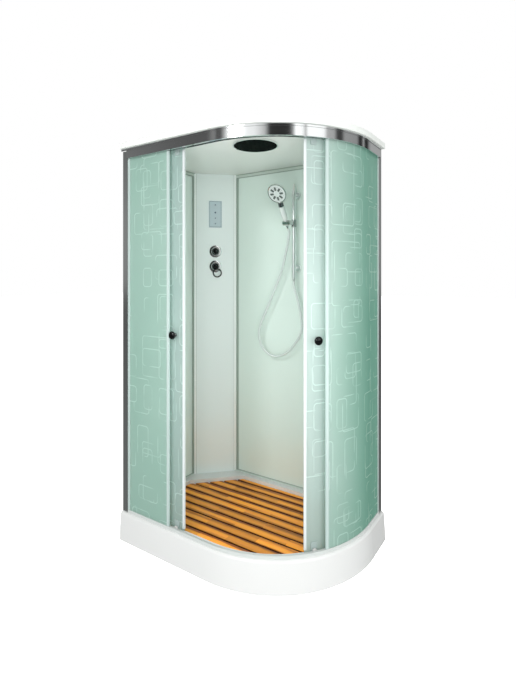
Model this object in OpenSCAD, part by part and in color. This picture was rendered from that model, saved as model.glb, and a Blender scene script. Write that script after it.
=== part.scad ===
// Corner shower cabin with a rounded front, two sliding doors, taps, a hand shower and a slatted floor board.
// The long back wall runs along X at the +Y side, the short wall stands at the -X side, and Z is up.
// The origin is on the floor, under the centre of the tray's outline.

/* [Cabin] */
// Overall width, along the long back wall
cabin_w = 1200; // [1180:10:1260]
// Overall depth, from the long back wall to the front
cabin_d = 800; // [790:10:860]
// Overall height
cabin_h = 2150; // [2080:10:2220]
// Radius of the tray's rounded front corner
front_r = 600; // [590:5:620]
// Height of the tray's rim above the floor
tray_h = 150; // [145:5:180]
// Height of the roof's rim above the top rail
roof_rim_h = 29; // [20:1:45]

/* [Tray] */
// Thickness of the tray's moulded shell
tray_t = 5; // [4:0.5:6]
// How much narrower the skirt is at its top than at the floor
skirt_draft = 8; // [4:1:12]
// Gap between the skirt and the floor
skirt_gap = 3; // [2:0.5:5]
// Radius of the rim's rounded outer edge
rim_round = 12; // [8:1:14]
// Depth of the basin below the rim
basin_depth = 60; // [55:1:65]
// Distance from the tray's outline to the basin's front wall
basin_inset = 65; // [64:1:72]
// Width of the ledge between a wall panel and the basin
ledge_w = 39; // [34:1:50]
// Width of the ledge between the column's face and the basin
column_ledge = 95; // [85:1:120]
// Diameter of the waste opening
waste_d = 90; // [80:1:100]
// Place of the waste along X
waste_x = -120; // [-160:10:-100]
// Place of the waste along Y
waste_y = 90; // [60:10:110]

/* [Frame and feet] */
// Side of the frame's square tube
beam = 25; // [20:1:28]
// Wall of the frame's square tube
beam_wall = 2; // [1.5:0.5:3]
// Diameter of the levelling screws
leg_d = 12; // [10:1:14]
// Diameter of a foot
foot_d = 50; // [40:1:60]
// Height of a foot
foot_h = 12; // [8:1:16]
// Distance from the tray's left edge to the frame's left beam
frame_in_left = 70; // [60:1:80]
// Distance from the tray's right edge to the frame's right beam
frame_in_right = 110; // [100:1:120]
// Distance from the tray's back edge to the frame's back beam
frame_in_back = 80; // [70:1:90]
// Distance from the tray's front edge to the frame's front beam
frame_in_front = 90; // [80:1:100]
// How far the front beam runs past the corner's centre
knee_x = 150; // [140:1:160]
// How far the right beam runs past the corner's centre
knee_y = 180; // [170:1:190]
// Distance along X from the waste to the cross beam
cross_off = 240; // [220:1:250]

/* [Floor board] */
// Distance from slat to slat
slat_pitch = 63.4; // [60:0.2:68]
// Gap between slats
slat_gap = 12; // [8:0.5:14]
// Thickness of a slat
slat_t = 18; // [14:1:20]
// Distance from the tray's left edge to the first batten
batten_in = 200; // [180:1:220]
// Distance from batten to batten
batten_pitch = 340; // [320:1:345]
// Distance from the middle stud to the stud in front of it
stud_front = 240; // [200:5:250]
// Distance from the middle stud to the stud behind it
stud_back = 190; // [160:5:200]
// Width of a batten
batten_w = 50; // [40:1:60]
// Thickness of a batten
batten_t = 18; // [14:1:20]
// Height of a rubber foot under the battens
stud_h = 4; // [3:0.5:6]
// Gap between the board and the basin's wall
board_gap = 4; // [3:0.5:6]

/* [Walls and column] */
// Distance from the tray's outline to the back of a wall panel
wall_inset = 15; // [14:0.5:18]
// Thickness of a wall panel
panel_t = 5; // [4:0.5:6]
// Width of the strips along the panels' top and column side
strip_w = 20; // [14:0.5:24]
// Height of the strip at the panels' foot
foot_strip_h = 9; // [7:0.5:12]
// Distance from the tray's back corner to the column's edges, along each wall
column_reach = 206; // [196:2:220]
// Radius of the column's rounded edges
column_round = 10; // [7:1:12]
// Thickness of the column's shell
column_t = 4; // [3:0.5:5]

/* [Rails] */
// Distance from the tray's outline to the top rail's face
rail_inset = 12; // [11:0.5:13]
// Height of the top rail
top_rail_h = 55; // [50:1:60]
// Height of the top rail's upper lip
rail_lip_h = 12; // [8:1:16]
// How far the upper lip stands out from the rail's face
rail_lip = 2; // [1:0.5:3]
// Thickness of the rails' outer walls
rail_t = 2.5; // [2:0.1:3]
// Thickness of the rails' inner webs
web_t = 1.8; // [1.4:0.1:1.8]
// Height of the bottom rail
bottom_rail_h = 16; // [15:1:20]
// Side of the square wall profiles
post = 38; // [36:1:42]
// Wall of the wall profiles
post_t = 2; // [1.5:0.1:2.5]

/* [Glass] */
// Distance from the tray's outline to the fixed panes' outer face
pane_inset = 26; // [25:0.5:26]
// Distance from the tray's outline to the doors' outer face
door_inset = 50; // [50:0.5:51]
// Thickness of the glass
glass_t = 5; // [4:0.5:5]
// Angle at which the curved fixed pane begins, seen from the corner's centre
fixed_start = -32.4; // [-33:0.1:-32]
// Length of the panes' edge profiles
edge_w = 14; // [10:1:16]
// How far a closed door overlaps its fixed pane
overlap = 22; // [16:1:26]

/* [Doors] */
// Angle at which the closed doors meet, seen from the corner's centre
door_closed_angle = -83.6; // [-85:0.2:-82]
// Distance from the left wall profile to the open flat door
left_tail_gap = 42.8; // [40:0.2:56]
// Distance from the right wall profile to the open curved door
right_tail_gap = 60; // [55:1:70]
// How much of the open flat door stands clear of its fixed pane
door_show = 87; // [75:1:95]
// Gap between the doors' seals when both are closed
meet_gap = 1.5; // [1:0.1:3]
// Width of the leading seals
seal_w = 12; // [10:1:14]
// Distance from a pane's end to its roller
roller_in = 48; // [44:1:52]
// Diameter of the rollers' wheels
wheel_d = 22; // [20:1:24]
// Width of a wheel
wheel_w = 7; // [5:0.5:7]
// Diameter of the wheels' axles
axle_d = 6; // [5:0.5:7]
// Radial clearance of a wheel on its axle
axle_play = 0.05; // [0.02:0.01:0.1]
// Distance from a leading edge to the knob
knob_in = 62; // [56:1:68]
// Height of the knobs above the floor
knob_z = 1133; // [1050:1:1200]
// Diameter of a knob
knob_d = 42; // [36:1:44]
// Distance from the glass to the middle of a knob
knob_out = 25; // [23:1:27]

/* [Rain head] */
// Diameter of the rain head's ring
rain_d = 231; // [210:1:245]
// Width of the rain head's ring
rain_ring_w = 6; // [5:0.5:9]
// Place of the rain head along X
rain_x = 103; // [60:1:140]
// Place of the rain head along Y
rain_y = -128; // [-160:1:-90]

/* [Taps] */
// Distance from the ceiling to the diverter's centre
diverter_drop = 505; // [480:1:530]
// Diameter of the diverter's plate
diverter_plate_d = 76; // [70:1:84]
// Diameter of the diverter's knob
diverter_knob_d = 42; // [36:1:50]
// Distance between the centres of the diverter and the mixer
tap_pitch = 98; // [90:1:120]
// Diameter of the mixer's plate
mixer_plate_d = 79; // [72:1:84]
// Diameter of the mixer's hub
mixer_hub_d = 40; // [36:1:46]
// Outer diameter of the ring on the mixer's lever
lever_ring_d = 60; // [50:1:66]
// Thickness of that ring
lever_ring_t = 7; // [5:0.5:9]
// Distance from the hub's centre to the ring's centre
lever_drop = 42; // [38:1:46]
// How far the lever is turned in the stored pose
lever_turn = 14; // [0:1:30]
// Thickness of the plates round the taps
plate_t = 6; // [4:0.5:8]
// Outer diameter of the mixer's threaded inlets
inlet_d = 20.955; // [20.955:G1/2, 26.441:G3/4]
// Distance between the mixer's inlets
inlet_pitch = 80; // [70:1:90]

/* [Control panel] */
// Width of the control panel
control_w = 84; // [76:1:96]
// Height of the control panel
control_h = 174; // [160:1:190]
// Distance from the diverter's centre up to the control panel's centre
control_rise = 243; // [225:1:260]
// Thickness of the control panel
control_t = 3; // [2:0.5:4]
// Diameter of a key
key_d = 14; // [12:0.5:16]
// Travel of a key
key_travel = 1.2; // [0.8:0.1:1.5]
// Depth of the electronics box behind the panel
box_depth = 34; // [26:1:40]

/* [Hand shower] */
// Diameter of the riser bar
bar_d = 22; // [20:0.5:25]
// Place of the bar along X
bar_x = 75; // [60:1:90]
// Distance from the long wall panel to the bar's axis
bar_off = 50; // [44:1:56]
// Distance from the ceiling to the bar's upper end
bar_drop = 157; // [140:1:190]
// Length of the riser bar
bar_len = 511; // [500:1:530]
// Distance from the bar's lower end to the lower bracket
bracket_in0 = 50; // [40:1:60]
// Distance from the bar's upper end to the upper bracket
bracket_in1 = 24; // [18:1:40]
// Length of the finial above the bar
finial_h = 38; // [20:1:50]
// Radial clearance of the slider on the bar
slider_play = 0.3; // [0.2:0.05:0.5]
// Distance from the bar's lower end to the slider's centre in the stored pose
slider_at = 315; // [295:1:335]
// Length of the slider's sleeve
slider_h = 45; // [36:1:50]
// Diameter of the holder's barrel
barrel_d = 29; // [27:0.5:32]
// Length of the holder's barrel
barrel_w = 38; // [32:1:40]
// Lean of the hand shower from upright in the stored pose
handset_lean = 32; // [26:1:38]
// Length of the handle, from the holder to the head's centre
handle_len = 190; // [180:1:210]
// Diameter of the hand shower's head
head_d = 118; // [100:1:125]
// Depth of the head
head_t = 24; // [20:1:28]
// Tilt of the head against the handle
head_tilt = 3; // [0:1:15]
// Diameter of the hose
hose_d = 14; // [12:0.5:16]

/* [Hidden] */
$fn = 72;

// Clearance between pieces that only lie side by side
slip = 0.3;
// Centre of the rounded corner
corner_x = cabin_w / 2 - front_r;
corner_y = front_r - cabin_d / 2;
// The tray's outline
left_x = -cabin_w / 2;
right_x = cabin_w / 2;
back_y = cabin_d / 2;
front_y = -cabin_d / 2;
// Radii of the front's layers, all from the corner's centre
rail_r = front_r - rail_inset;
pane_r = front_r - pane_inset;
door_r = front_r - door_inset;
// Room between the fixed panes and the web inside the rails
web_gap = 0.4;
web_r1 = pane_r - glass_t - web_gap;
web_r0 = web_r1 - web_t;
// The wheels' layer, and the plates that carry them
wheel_gap = 1.8;
wheel_r1 = web_r0 - wheel_gap;
wheel_r0 = wheel_r1 - wheel_w;
mount_t = 2.7;
mount_w = 30;
lip_gap = 1;
// Heights
rail_z1 = cabin_h - roof_rim_h;
rail_z0 = rail_z1 - top_rail_h;
ceiling_t = 4;
ceiling_z = rail_z1 - 24;
basin_z = tray_h - basin_depth;
diverter_z = ceiling_z - diverter_drop;
mixer_z = diverter_z - tap_pitch;
control_z = diverter_z + control_rise;
bar_z1 = ceiling_z - bar_drop;
bar_z0 = bar_z1 - bar_len;
bracket_z0 = bar_z0 + bracket_in0;
bracket_z1 = bar_z1 - bracket_in1;
slider_z = bar_z0 + slider_at;
bottom_rail_z1 = tray_h + bottom_rail_h;
rail_base_t = 2;
track_z = rail_z0 + 14;
track_t = 2.5;
top_wheel_z = track_z + wheel_d / 2 + slip;
bottom_wheel_z = tray_h + rail_base_t + wheel_d / 2 + slip;
door_z0 = tray_h + 8;
door_z1 = rail_z0 + 20;
hook_h = 9;
// Inner faces of the wall panels
wall_x = left_x + wall_inset + panel_t;
wall_y = back_y - wall_inset - panel_t;
// The wall profiles' outer corners
post_out = 4;
post_side = 2;
post_x = left_x + post_side;
post_y = front_y + pane_inset - post_out;
right_post_x = right_x - pane_inset + post_out;
right_post_y = back_y - post_side;
groove_play = 0.4;
// Doors
angle_per_mm = 180 / (PI * door_r);
meet_x = corner_x + door_r * cos(door_closed_angle);
left_closed_x = meet_x - meet_gap;
left_tail_x = post_x + post + left_tail_gap;
door_slide = (left_closed_x - left_tail_x - door_show - overlap) / 2;
left_open_x = left_closed_x - door_slide;
left_fixed_x = left_open_x - door_show;
right_span = fixed_start + overlap * angle_per_mm - door_closed_angle;
right_tail = asin((right_post_y - post - right_tail_gap - corner_y) / door_r);
door_open_angle = right_tail - right_span;
glass_end = 2;
// Mounts of the rollers through the door glass
top_bolt_z = rail_z0 - 12;
bottom_bolt_z = bottom_rail_z1 + 20;
bolt_d = 8;
bolt_hole_d = 9;
cap_d = 22;
cap_t = 6;
// Column
column_x = left_x + (wall_inset + panel_t + column_reach) / 2;
column_y = back_y - (wall_inset + panel_t + column_reach) / 2;
column_half = (column_reach - wall_inset - panel_t) * sqrt(2) / 2;
// Taps: depths are measured from the chord between the column's edges, towards the cabin
face = column_round;
hub_len = 26;
spindle_d = 16;
spindle_len = 7;
pivot_off = face + plate_t + slip + 14;
pin_d = 5;
knob_len = 24;
diverter_spindle_d = 12;
valve_d = 46;
// Keys, from the panel's centre
key_heights = [61, 11, -61];
key_lip = 2;
key_proud = 1;
// Bar and holder
bar_y = wall_y - bar_off;
barrel_x = bar_x - 25;
barrel_y = bar_y - 48;
cup_d = 18;
cup_play = 0.3;
nut_len = 34;
outlet_h = 27;
holder_pin_d = 8;
// The hose hangs from the bar's outlet in a loop and ends at the nut under the holder
hose_from = [bar_x, bar_y, bar_z0 - outlet_h];
hose_gap = 0.1;
hose_reach = nut_len + hose_gap;
hose_to = [barrel_x, barrel_y + hose_reach * sin(handset_lean), slider_z - hose_reach * cos(handset_lean)];
// Points along the hose, from its start
hose_loop = [
    [0, 0, 0], [0, 0, -20], [5, 0, -47], [17, 0, -84], [32, 0, -135], [46, 0, -197],
    [53, 0, -262], [43, -1, -317], [9, -2, -371], [-43, -3, -427], [-105, -4, -456],
    [-153, -5, -455], [-199, -6, -430], [-230, -7, -387], [-241, -8, -334],
    [-232, -8, -277], [-209, -8, -222], [-181, -8, -166], [-145, -8, -90],
    [-112, -8, -16], [-81, -8, 53], [-59, -9, 128], [-40, -10, 203],
    [-31, -11, 248], [-25, -14, 280], [-23, -21, 299], [-25, -30, 313]
];
tail_spans = 3;
hose_steps = 2;
hose_sides = 10;

// The plan inside the tray's outline, drawn in by inset at the front, with its left and back limits
module plan_2d(inset, left, back) {
    r = front_r - inset;
    union() {
        translate([left, corner_y - r]) square([corner_x - left, back - corner_y + r]);
        translate([corner_x, corner_y]) square([r, back - corner_y]);
        intersection() {
            translate([corner_x, corner_y]) circle(r);
            translate([corner_x, corner_y - r]) square([r, r]);
        }
    }
}

// A section (distance from the corner's centre, height) laid along the straight front
module front_run(x0, x1) {
    translate([x1, corner_y, 0]) rotate([90, 0, -90]) linear_extrude(x1 - x0) children();
}

// The same section turned round the corner between two angles
module corner_run(a0, a1) {
    translate([corner_x, corner_y, 0]) rotate([0, 0, a0]) rotate_extrude(angle = a1 - a0) children();
}

// The same section laid along the straight right side
module side_run(y0, y1) {
    translate([corner_x, y1, 0]) rotate([90, 0, 0]) linear_extrude(y1 - y0) children();
}

// The same section along the whole front
module whole_run(x0, y1) {
    front_run(x0, corner_x) children();
    corner_run(-90, 0) children();
    side_run(corner_y, y1) children();
}

// A rectangle of the section between two distances and two heights
module band(r0, r1, z0, z1) {
    translate([r0, z0]) square([r1 - r0, z1 - z0]);
}

// Places a piece on the column: X along its face, -Y out of it
module at_column(z) {
    translate([column_x, column_y, z]) rotate([0, 0, 45]) children();
}

// A cylinder that stands out along -Y, between two distances
module peg(d, y0, y1) {
    translate([0, -y0, 0]) rotate([90, 0, 0]) cylinder(h = y1 - y0, d = d);
}

// Places a piece on the corner's radius at an angle: -Y points outwards, and the origin is at the centre
module at_angle(a, z) {
    translate([corner_x, corner_y, z]) rotate([0, 0, a + 90]) children();
}

// Places a piece on the flat front: -Y points outwards, and the origin is level with the corner's centre
module at_front(x, z) {
    translate([x, corner_y, z]) children();
}

// Tray

module skirt_solid_2d(t) {
    r_edge = front_r - skirt_draft - rim_round;
    polygon([
        [r_edge, skirt_gap], [front_r - t, skirt_gap],
        [front_r - skirt_draft - t, tray_h - rim_round], [r_edge, tray_h - rim_round]
    ]);
    intersection() {
        translate([r_edge, tray_h - rim_round]) circle(rim_round - t);
        translate([r_edge, tray_h - rim_round]) square(rim_round);
    }
}

module skirt_2d() {
    difference() {
        skirt_solid_2d(0);
        skirt_solid_2d(tray_t);
    }
}

// The basin's outline, grown outwards by d
module basin_2d(d) {
    chamfer = wall_y - wall_x - column_reach + wall_inset + panel_t - (column_ledge - d) * sqrt(2);
    far = cabin_w + cabin_d;
    intersection() {
        plan_2d(basin_inset - d, wall_x + ledge_w - d, wall_y - ledge_w + d);
        polygon([[-far, -far], [far, -far], [far, far + chamfer], [-far, -far + chamfer]]);
    }
}

module tray() {
    deck_inset = skirt_draft + rim_round;
    back_lip = 40;
    color("white") difference() {
        union() {
            whole_run(left_x, back_y) skirt_2d();
            translate([0, 0, tray_h - tray_t]) linear_extrude(tray_t) difference() {
                plan_2d(deck_inset, left_x, back_y);
                basin_2d(0);
            }
            translate([0, 0, basin_z - tray_t]) linear_extrude(basin_depth) difference() {
                basin_2d(tray_t);
                basin_2d(0);
            }
            translate([0, 0, basin_z - tray_t]) linear_extrude(tray_t) basin_2d(0);
            translate([left_x, front_y + deck_inset, tray_h - back_lip])
                cube([tray_t, cabin_d - deck_inset, back_lip - tray_t]);
            translate([left_x, back_y - tray_t, tray_h - back_lip])
                cube([cabin_w - deck_inset, tray_t, back_lip - tray_t]);
        }
        translate([waste_x, waste_y, basin_z - 2 * tray_t]) cylinder(h = 3 * tray_t, d = waste_d);
    }
}

// Frame and feet

frame_z1 = basin_z - tray_t;
frame_z0 = frame_z1 - beam;
frame_left = left_x + frame_in_left;
frame_right = right_x - frame_in_right;
frame_back = back_y - frame_in_back;
frame_front = front_y + frame_in_front;
frame_knee_x = corner_x + knee_x;
frame_knee_y = corner_y - knee_y;
cross_x = waste_x + cross_off;
feet_at = [
    [frame_left, frame_front], [frame_knee_x, frame_front], [frame_right, frame_knee_y],
    [frame_right, frame_back], [frame_left, frame_back], [cross_x, frame_back]
];

frame_beams = [
    [[frame_left, frame_front], [frame_knee_x, frame_front]],
    [[frame_knee_x, frame_front], [frame_right, frame_knee_y]],
    [[frame_right, frame_knee_y], [frame_right, frame_back]],
    [[frame_left, frame_back], [frame_right, frame_back]],
    [[frame_left, frame_front], [frame_left, frame_back]],
    [[cross_x, frame_front], [cross_x, frame_back]]
];

// The beams in plan: each is w wide and reaches past its two ends by more
module frame_2d(w, more) {
    for (b = frame_beams) {
        run = b[1] - b[0];
        translate(b[0]) rotate(atan2(run[1], run[0])) translate([-more, -w / 2])
            square([norm(run) + 2 * more, w]);
    }
}

module base_frame() {
    color("lightgray") difference() {
        translate([0, 0, frame_z0]) linear_extrude(beam) frame_2d(beam, beam / 2);
        translate([0, 0, frame_z0 + beam_wall]) linear_extrude(beam - 2 * beam_wall)
            frame_2d(beam - 2 * beam_wall, -beam);
        for (p = feet_at) translate([p[0], p[1], 0]) cylinder(h = frame_z1 + 1, d = leg_d + 0.2);
    }
}

module feet() {
    nut_w = 1.6 * leg_d;
    nut_h = 0.7 * leg_d;
    for (p = feet_at) translate([p[0], p[1], 0]) {
        color("dimgray") difference() {
            union() {
                cylinder(h = foot_h * 0.6, d = foot_d);
                translate([0, 0, foot_h * 0.6]) cylinder(h = foot_h * 0.4, d1 = foot_d, d2 = foot_d * 0.6);
            }
            translate([0, 0, foot_h / 2]) cylinder(h = foot_h, d = leg_d);
        }
        color("silver") union() {
            translate([0, 0, foot_h / 2]) cylinder(h = frame_z1 - foot_h / 2, d = leg_d);
            translate([0, 0, frame_z0 - nut_h]) cylinder(h = nut_h, d = nut_w, $fn = 6);
        }
    }
}

// Waste

flange_t = 3;
trap_d = 104;
trap_z0 = 8;
spigot_d = 40;
spigot_z = 34;
spigot_len = 60;
collar_d = spigot_d + 8;
collar_end = waste_y + 60;
spigot_end = collar_end + spigot_len;

module drain_fittings() {
    throat = waste_d - 6;
    color("silver") translate([waste_x, waste_y, 0]) {
        difference() {
            union() {
                translate([0, 0, basin_z]) cylinder(h = flange_t, d = waste_d + 22);
                translate([0, 0, basin_z - tray_t - 12]) cylinder(h = tray_t + 12, d = waste_d - 1);
            }
            translate([0, 0, basin_z - 30]) cylinder(h = 40, d = throat);
        }
        difference() {
            translate([0, 0, basin_z - 1]) cylinder(h = flange_t, d = throat - 2 * slip);
            for (i = [-3 : 3]) translate([i * 10 - 2, -30 + abs(i) * 4, basin_z - 2])
                cube([4, 60 - abs(i) * 8, flange_t + 4]);
        }
    }
}

module siphon_trap() {
    trap_z1 = basin_z - tray_t;
    wall = 3;
    color("whitesmoke") translate([waste_x, waste_y, 0]) difference() {
        union() {
            translate([0, 0, trap_z0]) cylinder(h = trap_z1 - trap_z0, d = trap_d);
            translate([0, 0, spigot_z]) rotate([-90, 0, 0]) cylinder(h = spigot_end - waste_y, d = spigot_d);
            translate([0, 0, spigot_z]) rotate([-90, 0, 0]) cylinder(h = collar_end - waste_y, d = collar_d);
        }
        translate([0, 0, trap_z0 + wall]) cylinder(h = trap_z1 - trap_z0, d = trap_d - 2 * wall);
        translate([0, 0, spigot_z]) rotate([-90, 0, 0])
            cylinder(h = spigot_end - waste_y + 1, d = spigot_d - 2 * wall);
    }
}

// Floor board

board_z = basin_z + stud_h;
batten_x = [for (i = [0 : 2]) left_x + batten_in + i * batten_pitch];
slat_edge = wall_y - ledge_w - board_gap - 24;

module board_2d() {
    basin_2d(-board_gap);
}

module duckboard_slats() {
    count = ceil((slat_edge - front_y - basin_inset) / slat_pitch) + 1;
    width = slat_pitch - slat_gap;
    color("peru") translate([0, 0, board_z + batten_t]) for (i = [0 : count - 1])
        linear_extrude(slat_t) intersection() {
            board_2d();
            translate([left_x, slat_edge - i * slat_pitch]) square([cabin_w, width]);
        }
}

module duckboard_battens() {
    trim = 14;
    color("sienna") translate([0, 0, board_z]) for (x = batten_x)
        linear_extrude(batten_t) intersection() {
            basin_2d(-board_gap - trim);
            translate([x - batten_w / 2, front_y]) square([batten_w, cabin_d]);
        }
}

module duckboard_studs() {
    color("dimgray") for (x = batten_x) for (y = [-stud_front, 0, stud_back])
        translate([x, y, basin_z]) cylinder(h = stud_h, d = 24, $fn = 32);
}

// Rails and profiles

// The straight side has no inner lip, because the open curved door's end swings inside it
module bottom_rail_2d(lip) {
    outer = pane_r + groove_play + rail_t;
    lip_r = wheel_r0 - 3.5;
    band(door_r - 3, outer, tray_h, tray_h + rail_base_t);
    band(outer - rail_t, outer, tray_h, bottom_rail_z1);
    band(web_r0, web_r1, tray_h, bottom_rail_z1);
    if (lip) band(lip_r, lip_r + web_t, tray_h, tray_h + hook_h);
}

rail_x0 = post_x + post + slip;
rail_y1 = right_post_y - post - slip;

module bottom_rail() {
    color("gainsboro") union() {
        front_run(rail_x0, corner_x) bottom_rail_2d(true);
        corner_run(-90, 0) bottom_rail_2d(true);
        side_run(corner_y, rail_y1) bottom_rail_2d(false);
    }
}

module top_rail_2d(lip) {
    channel = pane_r + groove_play;
    cover_r = door_r - 12;
    lip_t = 2;
    band(rail_r - rail_t, rail_r, rail_z0, rail_z1);
    band(rail_r - rail_t, rail_r + rail_lip, rail_z1 - rail_lip_h, rail_z1);
    band(channel, rail_r, rail_z0, rail_z0 + lip_t);
    band(channel, channel + lip_t, rail_z0, track_z);
    band(web_r0, web_r1, rail_z0, rail_z1);
    band(cover_r, rail_r, rail_z1 - rail_t, rail_z1);
    if (lip) band(cover_r, cover_r + lip_t, rail_z0 + 6, rail_z1);
    band(wheel_r0 - lip_gap, web_r0 + 0.5, track_z - track_t, track_z);
}

module top_rail() {
    color("silver") union() {
        front_run(rail_x0, corner_x) top_rail_2d(true);
        corner_run(-90, 0) top_rail_2d(true);
        side_run(corner_y, rail_y1) top_rail_2d(false);
        front_run(post_x, rail_x0)
            band(rail_r - rail_t, rail_r + rail_lip, rail_z1 - rail_lip_h, rail_z1);
    }
}

// A wall profile's section, from its outer corner: the glass enters along X, the panel along Y
module post_2d() {
    glass_at = post_out;
    panel_at = wall_inset - post_side;
    groove = 12;
    difference() {
        square(post);
        difference() {
            translate([post_t, post_t]) square(post - 2 * post_t);
            translate([post - groove - post_t, 0]) square([groove + post_t, glass_at + glass_t + 2 * groove_play]);
            translate([0, post - groove - post_t]) square([panel_at + panel_t + 2 * groove_play, groove + post_t]);
        }
        translate([post - groove, glass_at - groove_play]) square([groove + 1, glass_t + 2 * groove_play]);
        translate([panel_at - groove_play, post - groove]) square([panel_t + 2 * groove_play, groove + 1]);
    }
}

module left_wall_profile() {
    color("silver") translate([post_x, post_y, tray_h])
        linear_extrude(rail_z1 - rail_lip_h - tray_h - slip) post_2d();
}

module right_wall_profile() {
    color("lightgray") translate([right_post_x, right_post_y, tray_h])
        linear_extrude(rail_z1 - tray_h - slip) rotate(180) mirror([1, -1]) post_2d();
}

// Fixed panes

fixed_z0 = tray_h + rail_base_t + 1;
fixed_z1 = rail_z1 - 4;
fixed_left_x = post_x + post - 10;
fixed_right_y = right_post_y - post + 10;

module left_fixed_glass() {
    color("mediumaquamarine", 0.5) front_run(fixed_left_x, left_fixed_x)
        band(pane_r - glass_t, pane_r, fixed_z0, fixed_z1);
}

module right_fixed_glass() {
    color("mediumaquamarine", 0.5) union() {
        corner_run(fixed_start, 0) band(pane_r - glass_t, pane_r, fixed_z0, fixed_z1);
        side_run(corner_y, fixed_right_y) band(pane_r - glass_t, pane_r, fixed_z0, fixed_z1);
    }
}

// The section of the profile on a fixed pane's free edge, and of the slot in it
module edge_cap_2d() {
    band(pane_r - glass_t - 2, pane_r + 2, bottom_rail_z1 + 1, rail_z0 - 1);
}

module pane_slot_2d() {
    band(pane_r - glass_t - 0.1, pane_r + 0.1, bottom_rail_z1, rail_z0);
}

module fixed_pane_trims() {
    cap = 3;
    a0 = fixed_start - cap * angle_per_mm;
    strip_t = 2;
    color("lightcyan") {
        difference() {
            front_run(left_fixed_x + cap - edge_w, left_fixed_x + cap) edge_cap_2d();
            front_run(left_fixed_x - edge_w, left_fixed_x + 0.1) pane_slot_2d();
        }
        difference() {
            corner_run(a0, a0 + edge_w * angle_per_mm) edge_cap_2d();
            corner_run(fixed_start - 0.01, fixed_start + edge_w * angle_per_mm) pane_slot_2d();
        }
        front_run(rail_x0, rail_x0 + edge_w)
            band(pane_r + 0.05, pane_r + strip_t, bottom_rail_z1 + 1, rail_z0 - 1);
        side_run(rail_y1 - edge_w, rail_y1)
            band(pane_r + 0.05, pane_r + strip_t, bottom_rail_z1 + 1, rail_z0 - 1);
    }
}

// Doors

// A bolt hole through the door glass
module pane_hole(z) {
    translate([0, 0, z]) peg(bolt_hole_d, door_r - 2 * glass_t, door_r + glass_t);
}

module left_door_glass() {
    color("mediumaquamarine", 0.5) difference() {
        front_run(left_tail_x + glass_end, left_open_x - glass_end)
            band(door_r - glass_t, door_r, door_z0, door_z1);
        for (x = [left_tail_x + roller_in, left_open_x - roller_in]) at_front(x, 0) {
            pane_hole(top_bolt_z);
            pane_hole(bottom_bolt_z);
        }
        at_front(left_open_x - knob_in, 0) pane_hole(knob_z);
    }
}

function arc_place(from, mm) = from + mm * angle_per_mm;

module right_door_glass() {
    end = glass_end * angle_per_mm;
    color("mediumaquamarine", 0.5) difference() {
        corner_run(door_open_angle + end, right_tail - end)
            band(door_r - glass_t, door_r, door_z0, door_z1);
        for (a = [arc_place(door_open_angle, roller_in), arc_place(right_tail, -roller_in)]) at_angle(a, 0) {
            pane_hole(top_bolt_z);
            pane_hole(bottom_bolt_z);
        }
        at_angle(arc_place(door_open_angle, knob_in), 0) pane_hole(knob_z);
    }
}

seal_z0 = bottom_rail_z1 + 2;
seal_z1 = rail_z0 - 2;

// A seal's body is a channel over the pane's edge
module seal_body_2d() {
    band(door_r - glass_t - 2, door_r + 2, seal_z0, seal_z1);
}

module seal_slot_2d() {
    band(door_r - glass_t - 0.1, door_r + 0.1, seal_z0 - 1, seal_z1 + 1);
}

// The fin that closes the gap towards the fixed pane
module seal_fin_2d() {
    band(door_r + 1, pane_r - glass_t - 0.5, seal_z0, seal_z1);
}

module left_door_seals() {
    tail_w = 8;
    fin_t = 1.5;
    color("white") {
        difference() {
            front_run(left_open_x - seal_w, left_open_x) seal_body_2d();
            front_run(left_open_x - seal_w - 1, left_open_x - glass_end + 0.1) seal_slot_2d();
        }
        difference() {
            union() {
                front_run(left_tail_x, left_tail_x + tail_w) seal_body_2d();
                front_run(left_tail_x, left_tail_x + fin_t) seal_fin_2d();
            }
            front_run(left_tail_x + glass_end - 0.1, left_tail_x + tail_w + 1) seal_slot_2d();
        }
    }
}

module right_door_seals() {
    tail_w = 8;
    fin_t = 1.5;
    end = (glass_end - 0.1) * angle_per_mm;
    color("white") {
        difference() {
            corner_run(door_open_angle, arc_place(door_open_angle, seal_w)) seal_body_2d();
            corner_run(door_open_angle + end, arc_place(door_open_angle, seal_w + 1)) seal_slot_2d();
        }
        difference() {
            union() {
                corner_run(arc_place(right_tail, -tail_w), right_tail) seal_body_2d();
                corner_run(arc_place(right_tail, -fin_t), right_tail) seal_fin_2d();
            }
            corner_run(arc_place(right_tail, -tail_w - 1), right_tail - end) seal_slot_2d();
        }
    }
}

// One roller's plate, bolt, inner cap and axle
module roller_mount(bolt_z, wheel_z, z0, z1) {
    plate_r = door_r + slip;
    boss_d = axle_d + 2;
    translate([-mount_w / 2, -plate_r - mount_t, z0]) cube([mount_w, mount_t, z1 - z0]);
    translate([0, 0, bolt_z]) peg(bolt_d, door_r - glass_t - slip - 1, plate_r + 1);
    translate([0, 0, bolt_z]) peg(cap_d, door_r - glass_t - slip - cap_t, door_r - glass_t - slip);
    translate([0, 0, wheel_z]) peg(axle_d, plate_r + 1, wheel_r1 + 1.4);
    translate([0, 0, wheel_z]) peg(boss_d, wheel_r1 + slip, wheel_r1 + 1.4);
    translate([0, 0, wheel_z]) peg(boss_d, plate_r + 1, wheel_r0 - slip);
}

module roller_mount_pair() {
    roller_mount(top_bolt_z, top_wheel_z, top_bolt_z - 14, top_wheel_z + 9);
    roller_mount(bottom_bolt_z, bottom_wheel_z, tray_h + hook_h + 1, bottom_bolt_z + 14);
}

module left_roller_mounts() {
    color("gray") for (x = [left_tail_x + roller_in, left_open_x - roller_in])
        at_front(x, 0) roller_mount_pair();
}

module right_roller_mounts() {
    color("gray") for (a = [arc_place(door_open_angle, roller_in), arc_place(right_tail, -roller_in)])
        at_angle(a, 0) roller_mount_pair();
}

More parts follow.
